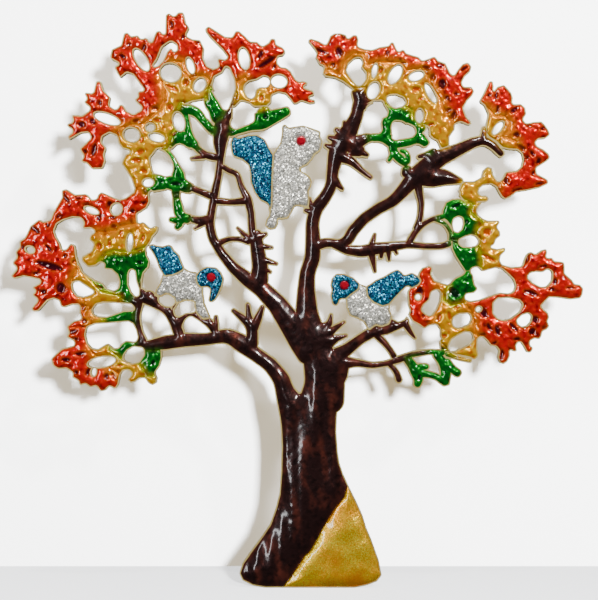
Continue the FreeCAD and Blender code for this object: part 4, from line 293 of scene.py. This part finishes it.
def thinness(kind, x, z, depth_in, pool_in):
    """How thin the lacquer lies: 1 at its edges, in noise patches and streaks, and around its pools."""
    if kind == "brown":
        streak = swell(BARK_STREAK, x, z) + swell(BARK_FLECK, x, z)
        thin = BARK_EDGE_SHARE * math.exp(-depth_in / BARK_EDGE)
        thin += max(0.0, streak - STREAK_START) * STREAK_GAIN
    else:
        thin = math.exp(-depth_in / LEAF_EDGE) + max(0.0, swell(THIN_PATCH, x, z))
    thin = min(1.0, thin)
    if pool_in is not None and pool_in > -LIP_REACH:
        lip = math.exp(-((pool_in + LIP_PLACE) / LIP_SPREAD) ** 2)
        thin = min(1.0, thin + LIP_SHARE * lip)
    return thin


def deepness(x, z, pool_in):
    """How deep the lacquer stands: 1 in the pools, and part of that in patches."""
    patch = min(DEEP_MOST, max(0.0, -swell(DEEP_PATCH, x, z) - DEEP_START))
    if pool_in is None:
        return patch
    return max(patch, 0.5 + 0.5 * math.tanh((pool_in - POOL_SHORE) / POOL_FADE))


def tint(kind, x, z, depth_in, pool_in):
    """Colour of the lacquer, blended softly into the neighbouring colour."""
    share = {kind: 1.0}
    for other, tree in FAMILY_TREES.items():
        if other == kind:
            continue
        reach = min(BLEND_REACH[kind], BLEND_REACH[other])
        share[other] = math.exp(-(distance(tree, x, z) / reach) ** 2)
    total = sum(share.values())
    thin = thinness(kind, x, z, depth_in, pool_in)
    deep = deepness(x, z, pool_in)
    colour = (0.0, 0.0, 0.0)
    for name, weight in share.items():
        paint = PALETTE[name]
        here = mix(paint["film"], paint["thin"], thin)
        here = mix(here, paint["pool"], deep)
        colour = tuple(c + h * weight / total for c, h in zip(colour, here))
    return colour


# ------------------------------------------------------------------ materials
def new_material(name):
    """A material with its node tree and its shader."""
    material = bpy.data.materials.new(name)
    material.use_nodes = True
    tree = material.node_tree
    shader = tree.nodes["Principled BSDF"]
    return material, tree, shader


def add(tree, kind, **values):
    """A shader node, with values set as attributes or as inputs of that name."""
    node = tree.nodes.new(kind)
    for key, value in values.items():
        if hasattr(node, key):
            setattr(node, key, value)
        else:
            node.inputs[key.replace("_", " ")].default_value = value
    return node


def lacquer_material(name, roughness, coat_roughness, bump_strength):
    """Translucent gloss over metal, coloured by the mesh's own tint."""
    material, tree, shader = new_material(name)
    colour = add(tree, "ShaderNodeVertexColor", layer_name="tint")
    tree.links.new(colour.outputs["Color"], shader.inputs["Base Color"])
    place = add(tree, "ShaderNodeTexCoord")
    grain = add(tree, "ShaderNodeTexNoise", Scale=520.0, Detail=3.0)
    bump = add(tree, "ShaderNodeBump", Strength=bump_strength, Distance=0.0004)
    tree.links.new(place.outputs["Object"], grain.inputs["Vector"])
    tree.links.new(grain.outputs["Fac"], bump.inputs["Height"])
    tree.links.new(bump.outputs["Normal"], shader.inputs["Normal"])
    shader.inputs["Metallic"].default_value = 0.45
    shader.inputs["Roughness"].default_value = roughness
    shader.inputs["Specular IOR Level"].default_value = 0.08
    shader.inputs["Coat Weight"].default_value = 1.0
    shader.inputs["Coat Roughness"].default_value = coat_roughness
    return material


def metal_material(name, colour, roughness, grain_scale):
    """Satin metal with a faint cast grain."""
    material, tree, shader = new_material(name)
    place = add(tree, "ShaderNodeTexCoord")
    grain = add(tree, "ShaderNodeTexNoise", Scale=grain_scale, Detail=4.0)
    ramp = add(tree, "ShaderNodeValToRGB")
    ramp.color_ramp.elements[0].position = 0.3
    ramp.color_ramp.elements[1].position = 0.75
    ramp.color_ramp.elements[0].color = (*[c * 0.72 for c in colour], 1.0)
    ramp.color_ramp.elements[1].color = (*[min(1.0, c * 1.15) for c in colour], 1.0)
    bump = add(tree, "ShaderNodeBump", Strength=0.25, Distance=0.0003)
    tree.links.new(place.outputs["Object"], grain.inputs["Vector"])
    tree.links.new(grain.outputs["Fac"], ramp.inputs["Fac"])
    tree.links.new(ramp.outputs["Color"], shader.inputs["Base Color"])
    tree.links.new(grain.outputs["Fac"], bump.inputs["Height"])
    tree.links.new(bump.outputs["Normal"], shader.inputs["Normal"])
    shader.inputs["Metallic"].default_value = 0.4
    shader.inputs["Roughness"].default_value = roughness
    return material


def glitter_material(name, dark, light, fleck, scale, spread, coat, cloud=None):
    """Flakes of foil in clear gloss: every cell has its own shade and tilt."""
    material, tree, shader = new_material(name)
    place = add(tree, "ShaderNodeTexCoord")
    cells = add(tree, "ShaderNodeTexVoronoi", Scale=scale)
    tree.links.new(place.outputs["Object"], cells.inputs["Vector"])
    parts = add(tree, "ShaderNodeSeparateColor")
    tree.links.new(cells.outputs["Color"], parts.inputs["Color"])
    ramp = add(tree, "ShaderNodeValToRGB")
    ramp.color_ramp.elements[0].position = 0.1
    ramp.color_ramp.elements[0].color = (*dark, 1.0)
    ramp.color_ramp.elements[1].position = 0.97
    ramp.color_ramp.elements[1].color = (*fleck, 1.0)
    middle = ramp.color_ramp.elements.new(0.6)
    middle.color = (*light, 1.0)
    tree.links.new(parts.outputs["Red"], ramp.inputs["Fac"])
    shade = ramp.outputs["Color"]
    if cloud:
        # the gloss is deeper and warmer in drifting patches
        drift = add(tree, "ShaderNodeTexNoise", Scale=95.0, Detail=5.0)
        share = add(tree, "ShaderNodeMapRange")
        share.inputs["From Min"].default_value = 0.45
        share.inputs["From Max"].default_value = 0.68
        blend = add(tree, "ShaderNodeMix", data_type="RGBA")
        tree.links.new(place.outputs["Object"], drift.inputs["Vector"])
        tree.links.new(drift.outputs["Fac"], share.inputs["Value"])
        tree.links.new(share.outputs["Result"], blend.inputs["Factor"])
        tree.links.new(shade, blend.inputs["A"])
        blend.inputs["B"].default_value = (*cloud, 1.0)
        shade = blend.outputs["Result"]
    tree.links.new(shade, shader.inputs["Base Color"])
    around = add(tree, "ShaderNodeNewGeometry")
    tilt = add(tree, "ShaderNodeVectorMath", operation="SUBTRACT")
    tilt.inputs[1].default_value = (0.5, 0.5, 0.5)
    tree.links.new(cells.outputs["Color"], tilt.inputs[0])
    lean = add(tree, "ShaderNodeVectorMath", operation="SCALE")
    lean.inputs["Scale"].default_value = spread
    tree.links.new(tilt.outputs["Vector"], lean.inputs[0])
    total = add(tree, "ShaderNodeVectorMath", operation="ADD")
    tree.links.new(around.outputs["Normal"], total.inputs[0])
    tree.links.new(lean.outputs["Vector"], total.inputs[1])
    unit = add(tree, "ShaderNodeVectorMath", operation="NORMALIZE")
    tree.links.new(total.outputs["Vector"], unit.inputs[0])
    tree.links.new(unit.outputs["Vector"], shader.inputs["Normal"])
    shader.inputs["Metallic"].default_value = 0.6
    shader.inputs["Roughness"].default_value = 0.34
    shader.inputs["Coat Weight"].default_value = coat
    shader.inputs["Coat Roughness"].default_value = 0.05
    return material


LACQUER = lacquer_material("lacquer", 0.24, 0.03, 0.55)
BARK_LACQUER = lacquer_material("bark_lacquer", 0.38, 0.15, 0.85)
CAST_METAL = metal_material("cast_gold_metal", GOLD, 0.33, 300.0)
HANGER_METAL = metal_material("hanger_metal", BRASS, 0.28, 700.0)
GLITTERS = {
    "gold_glitter": glitter_material("gold_glitter", (0.85, 0.38, 0.0), (1.0, 0.66, 0.0),
                                     (1.0, 0.88, 0.06), 4200.0, 0.30, 1.0, (1.0, 0.36, 0.0)),
    "blue_glitter": glitter_material("blue_glitter", (0.0, 0.012, 0.05), (0.0, 0.12, 0.27),
                                     (0.06, 0.50, 0.70), 2600.0, 0.8, 0.3),
    "silver_glitter": glitter_material("silver_glitter", (0.44, 0.42, 0.36), (0.88, 0.85, 0.74),
                                       (1.0, 1.0, 0.95), 2600.0, 0.8, 0.3),
}


# ------------------------------------------------------------------ the lacquer pieces
FINE_STEP = 0.55
BARK_STEP = 0.8
EDGE_SAMPLE = 0.12
EDGE_CLEAR = 0.35
ROW_RISE = 0.866
UNDERSIDE_GAP = 0.02
STEEP = 0.25


def grid_inside(outline, edge_tree, corners, step):
    """A triangular grid of points inside an outline, kept off its edge."""
    xs = [p[0] for p in corners]
    zs = [p[1] for p in corners]
    grid = []
    row = 0
    z = min(zs)
    while z < max(zs):
        x = min(xs) + (0.5 * step if row % 2 else 0.0)
        while x < max(xs):
            grid.append((x, z))
            x += step
        z += step * ROW_RISE
        row += 1
    grid = [p for p, good in zip(grid, inside(grid, outline)) if good]
    return [p for p in grid if distance(edge_tree, *p) > EDGE_CLEAR * step]


def front_surface(node, kind):
    """Points, faces and colours of a cell's domed front, in metres."""
    outline, pools = RINGS[node]
    step = BARK_STEP if kind == "brown" else FINE_STEP
    rim_points, runs = cut_edges(outline, step)
    edge_tree = tree_of(cut_edges(outline, EDGE_SAMPLE)[0])
    pool_tree = tree_of(cut_edges(pools, EDGE_SAMPLE)[0]) if pools else None
    grid = grid_inside(outline, edge_tree, rim_points, step)
    verts, faces = triangles(rim_points + grid, runs, outline)
    sunk = inside([(v.x, v.y) for v in verts], pools) if pools else [False] * len(verts)
    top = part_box(node)[0].y / MM
    shell = []
    colours = []
    for v, under in zip(verts, sunk):
        depth_in = distance(edge_tree, v.x, v.y)
        pool_in = None
        if pool_tree is not None:
            pool_in = distance(pool_tree, v.x, v.y) * (1.0 if under else -1.0)
        height = relief(kind, v.x, v.y, depth_in, pool_in)
        shell.append((v.x * MM, (top - height) * MM, v.y * MM))
        if kind in PALETTE:
            colours.append((*tint(kind, v.x, v.y, depth_in, pool_in), 1.0))
    return shell, faces, colours


def border_runs(faces):
    """Edges that only one face uses, in that face's own direction."""
    uses = {}
    for face in faces:
        for a, b in zip(face, list(face[1:]) + [face[0]]):
            uses.setdefault((min(a, b), max(a, b)), []).append((a, b))
    return [pairs[0] for pairs in uses.values() if len(pairs) == 1]


def close_behind(node, shell, faces, colours):
    """Walls down from the front's border and a flat underside, added to the shell."""
    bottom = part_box(node)[1].y - UNDERSIDE_GAP * MM
    border = border_runs(faces)
    base = {}
    for a, b in border:
        for index in (a, b):
            if index not in base:
                base[index] = len(shell)
                shell.append((shell[index][0], bottom, shell[index][2]))
                if colours:
                    colours.append(colours[index])
    walls = [(b, a, base[a], base[b]) for a, b in border]
    flat = [(shell[i][0] / MM, shell[i][2] / MM) for i in base.values()]
    order = {index: place for place, index in enumerate(base)}
    runs = [(order[a], order[b]) for a, b in border]
    flat_verts, flat_faces = triangles(flat, runs, [(flat[a], flat[b]) for a, b in runs])
    underside = []
    if len(flat_verts) == len(flat):
        names = list(base.values())
        underside = [tuple(names[i] for i in reversed(face)) for face in flat_faces]
    return walls + underside


def finish_piece(node, mesh, material):
    """Link a new mesh as the plaque's piece in place of a node."""
    piece = bpy.data.objects.new(node + "_look", mesh)
    bpy.context.scene.collection.objects.link(piece)
    mesh.materials.append(material)
    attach(piece, "plaque")
    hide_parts(node)


def cell_piece(node):
    """A domed, closed piece standing in one node's cells."""
    kind = family(node) or ("ground" if node.startswith("ground") else "animal")
    shell, faces, colours = front_surface(node, kind)
    others = close_behind(node, shell, faces, colours)
    mesh = bpy.data.meshes.new(node + "_domed")
    mesh.from_pydata(shell, [], [tuple(face) for face in faces] + others)
    mesh.validate()
    built = bmesh.new()
    built.from_mesh(mesh)
    bmesh.ops.recalc_face_normals(built, faces=built.faces)
    built.to_mesh(mesh)
    built.free()
    if colours and len(mesh.vertices) == len(colours):
        layer = mesh.color_attributes.new("tint", "FLOAT_COLOR", "POINT")
        layer.data.foreach_set("color", np.array(colours, np.float32).ravel())
    smooth = np.array([abs(p.normal.y) > STEEP for p in mesh.polygons], bool)
    mesh.polygons.foreach_set("use_smooth", smooth)
    gloss = BARK_LACQUER if kind == "brown" else LACQUER
    finish_piece(node, mesh, GLITTERS.get(SLOTS[node], gloss))


for name in CELL_NODES:
    cell_piece(name)


# ------------------------------------------------------------------ crystals
GIRDLE_DROP = 0.7 * MM
BREAK_DROP = 0.32 * MM
FLAT_ANGLE = 0.02


def crystal_material():
    """Clear red stone."""
    material, _, shader = new_material("red_crystal")
    shader.inputs["Base Color"].default_value = (*RUBY, 1.0)
    shader.inputs["Roughness"].default_value = 0.06
    shader.inputs["Metallic"].default_value = 0.45
    shader.inputs["Coat Weight"].default_value = 1.0
    return material


def crystal_piece(node, material):
    """A round cut stone: a table, two rings of facets and a straight girdle."""
    low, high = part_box(node)
    middle = (low + high) / 2.0
    radius = (high.x - low.x) / 2.0
    rings = (
        (8, 0.55, low.y, 0.0),
        (8, 0.84, low.y + BREAK_DROP, 0.5),
        (16, 1.0, low.y + GIRDLE_DROP, 0.0),
        (16, 1.0, high.y, 0.0),
    )
    built = bmesh.new()
    for count, share, level, turn in rings:
        for i in range(count):
            angle = 2.0 * math.pi * (i + turn) / count
            across = middle.x + radius * share * math.cos(angle)
            up = middle.z + radius * share * math.sin(angle)
            built.verts.new((across, level, up))
    bmesh.ops.convex_hull(built, input=built.verts)
    bmesh.ops.dissolve_limit(built, angle_limit=FLAT_ANGLE, verts=built.verts, edges=built.edges)
    mesh = bpy.data.meshes.new(node + "_cut")
    built.to_mesh(mesh)
    built.free()
    finish_piece(node, mesh, material)


CRYSTAL = crystal_material()
for name in nodes:
    if name.endswith("_crystal"):
        crystal_piece(name, CRYSTAL)


# ------------------------------------------------------------------ the casting and the hanger
CASTING_BEVEL = 0.14 * MM
HANGER_BEVEL = 0.12 * MM
WELD_REACH = 0.01 * MM
SHARP_EDGE = math.radians(50.0)


def soften(item, width):
    """Join the node's split corners and round its sharp edges."""
    weld = item.modifiers.new("weld", "WELD")
    weld.merge_threshold = WELD_REACH
    bevel = item.modifiers.new("soft_edges", "BEVEL")
    bevel.width = width
    bevel.segments = 2
    bevel.limit_method = "ANGLE"
    bevel.angle_limit = SHARP_EDGE


for name, item in nodes.items():
    if name in CELL_NODES or name.endswith("_crystal"):
        continue
    casting = name == "tree_casting"
    item.data.materials.clear()
    item.data.materials.append(CAST_METAL if casting else HANGER_METAL)
    soften(item, CASTING_BEVEL if casting else HANGER_BEVEL)

# ------------------------------------------------------------------ stage
STAGE_SHEETS = bpy.data.collections.new("stage_sheets")
SHEET_SIDE = 0.5
WALL_TOP = 0.6
FLOOR_FRONT = -0.03
WALL_BACK = 0.046
WORLD_COLOUR = (0.95, 0.97, 1.0, 1.0)
GLOW_UNSEEN = 0.07
GLOW_SEEN = 2.2
low, high = size_at_load
middle = (low + high) / 2.0


def pale_material(name, colour, glow_colour, glow):
    """A pale sheet that glows a little; clear from behind, so it walls off no view."""
    material, tree, shader = new_material(name)
    shader.inputs["Base Color"].default_value = (*colour, 1.0)
    shader.inputs["Emission Color"].default_value = (*glow_colour, 1.0)
    shader.inputs["Emission Strength"].default_value = glow
    shader.inputs["Roughness"].default_value = 0.7
    side = add(tree, "ShaderNodeNewGeometry")
    clear = add(tree, "ShaderNodeBsdfTransparent")
    choice = add(tree, "ShaderNodeMixShader")
    tree.links.new(side.outputs["Backfacing"], choice.inputs[0])
    tree.links.new(shader.outputs["BSDF"], choice.inputs[1])
    tree.links.new(clear.outputs["BSDF"], choice.inputs[2])
    tree.links.new(choice.outputs["Shader"], tree.nodes["Material Output"].inputs["Surface"])
    return material


def flat_sheet(name, corners, material):
    """One face of the stage, seen by the camera but adding no light to the object."""
    mesh = bpy.data.meshes.new(name)
    mesh.from_pydata(corners, [], [(0, 1, 2, 3)])
    mesh.materials.append(material)
    item = bpy.data.objects.new(name, mesh)
    bpy.context.scene.collection.objects.link(item)
    item.visible_glossy = False
    item.visible_diffuse = False
    item.visible_shadow = False
    STAGE_SHEETS.objects.link(item)


def pale_world():
    """A pale surround to the eye, and a faint glow to everything else."""
    world = bpy.data.worlds.new("studio")
    bpy.context.scene.world = world
    world.use_nodes = True
    tree = world.node_tree
    sky = tree.nodes["Background"]
    sky.inputs["Color"].default_value = WORLD_COLOUR
    seen = add(tree, "ShaderNodeLightPath")
    strength = add(tree, "ShaderNodeMapRange")
    strength.inputs["To Min"].default_value = GLOW_UNSEEN
    strength.inputs["To Max"].default_value = GLOW_SEEN
    tree.links.new(seen.outputs["Is Camera Ray"], strength.inputs["Value"])
    tree.links.new(strength.outputs["Result"], sky.inputs["Strength"])


flat_sheet("floor", [(-SHEET_SIDE, FLOOR_FRONT, low.z), (SHEET_SIDE, FLOOR_FRONT, low.z),
                     (SHEET_SIDE, WALL_BACK, low.z), (-SHEET_SIDE, WALL_BACK, low.z)],
           pale_material("pale_floor", (0.88, 0.88, 0.89), (0.88, 0.88, 0.89), 1.3))
# The wall's glow is tan: painted warm light, the only light left where the object's shadow falls, so its
# shadows come out tan; the bluish wall_wash lamp brings the rest of the wall to near white.
flat_sheet("backdrop", [(-SHEET_SIDE, WALL_BACK, low.z), (SHEET_SIDE, WALL_BACK, low.z),
                        (SHEET_SIDE, WALL_BACK, WALL_TOP), (-SHEET_SIDE, WALL_BACK, WALL_TOP)],
           pale_material("pale_wall", (0.93, 0.93, 0.93), (0.92, 0.72, 0.38), 0.55))
pale_world()


def soft_light(name, place, width, height, power, colour):
    """A rectangular lamp turned towards the middle of the object."""
    data = bpy.data.lights.new(name, "AREA")
    data.shape = "RECTANGLE"
    data.size = width
    data.size_y = height
    data.energy = power
    data.color = colour
    lamp = bpy.data.objects.new(name, data)
    lamp.location = place
    lamp.rotation_mode = "QUATERNION"
    lamp.rotation_quaternion = (middle - Vector(place)).to_track_quat("-Z", "Y")
    bpy.context.scene.collection.objects.link(lamp)
    return lamp


soft_light("key", (0.42, -0.75, 0.62), 0.07, 0.07, 7.6, (1.0, 0.98, 0.95))
soft_light("fill", (-0.45, -0.7, 0.25), 0.09, 0.5, 2.8, (0.95, 0.97, 1.0))
soft_light("top", (0.05, -0.35, 0.85), 0.06, 0.06, 2.2, (1.0, 1.0, 1.0))
soft_light("back", (-0.35, 0.8, 0.45), 0.3, 0.3, 2.2, (1.0, 0.99, 0.97))
# this one lights the wall and floor alone, and casts the object's shadow on them
wall_wash = soft_light("wall_wash", (0.17, -0.90, 0.20), 0.06, 0.06, 58.0, (0.94, 0.97, 1.0))
wall_wash.light_linking.receiver_collection = STAGE_SHEETS


# ------------------------------------------------------------------ camera
SENSOR = 36.0
LENS = 100.0
FRAME_SHARE = 1.0448
CAMERA_SHIFT = 0.6 * MM


def level_camera():
    """A level camera square to the front; the frame is a little taller than the object."""
    data = bpy.data.cameras.new("view")
    data.sensor_fit = "VERTICAL"
    data.sensor_height = SENSOR
    data.sensor_width = SENSOR
    data.lens = LENS
    camera = bpy.data.objects.new("view", data)
    reach = (FRAME_SHARE * (high.z - low.z)) * LENS / SENSOR
    camera.location = (middle.x + CAMERA_SHIFT, -reach, middle.z)
    camera.rotation_euler = (math.pi / 2.0, 0.0, 0.0)
    bpy.context.scene.collection.objects.link(camera)
    bpy.context.scene.camera = camera


level_camera()
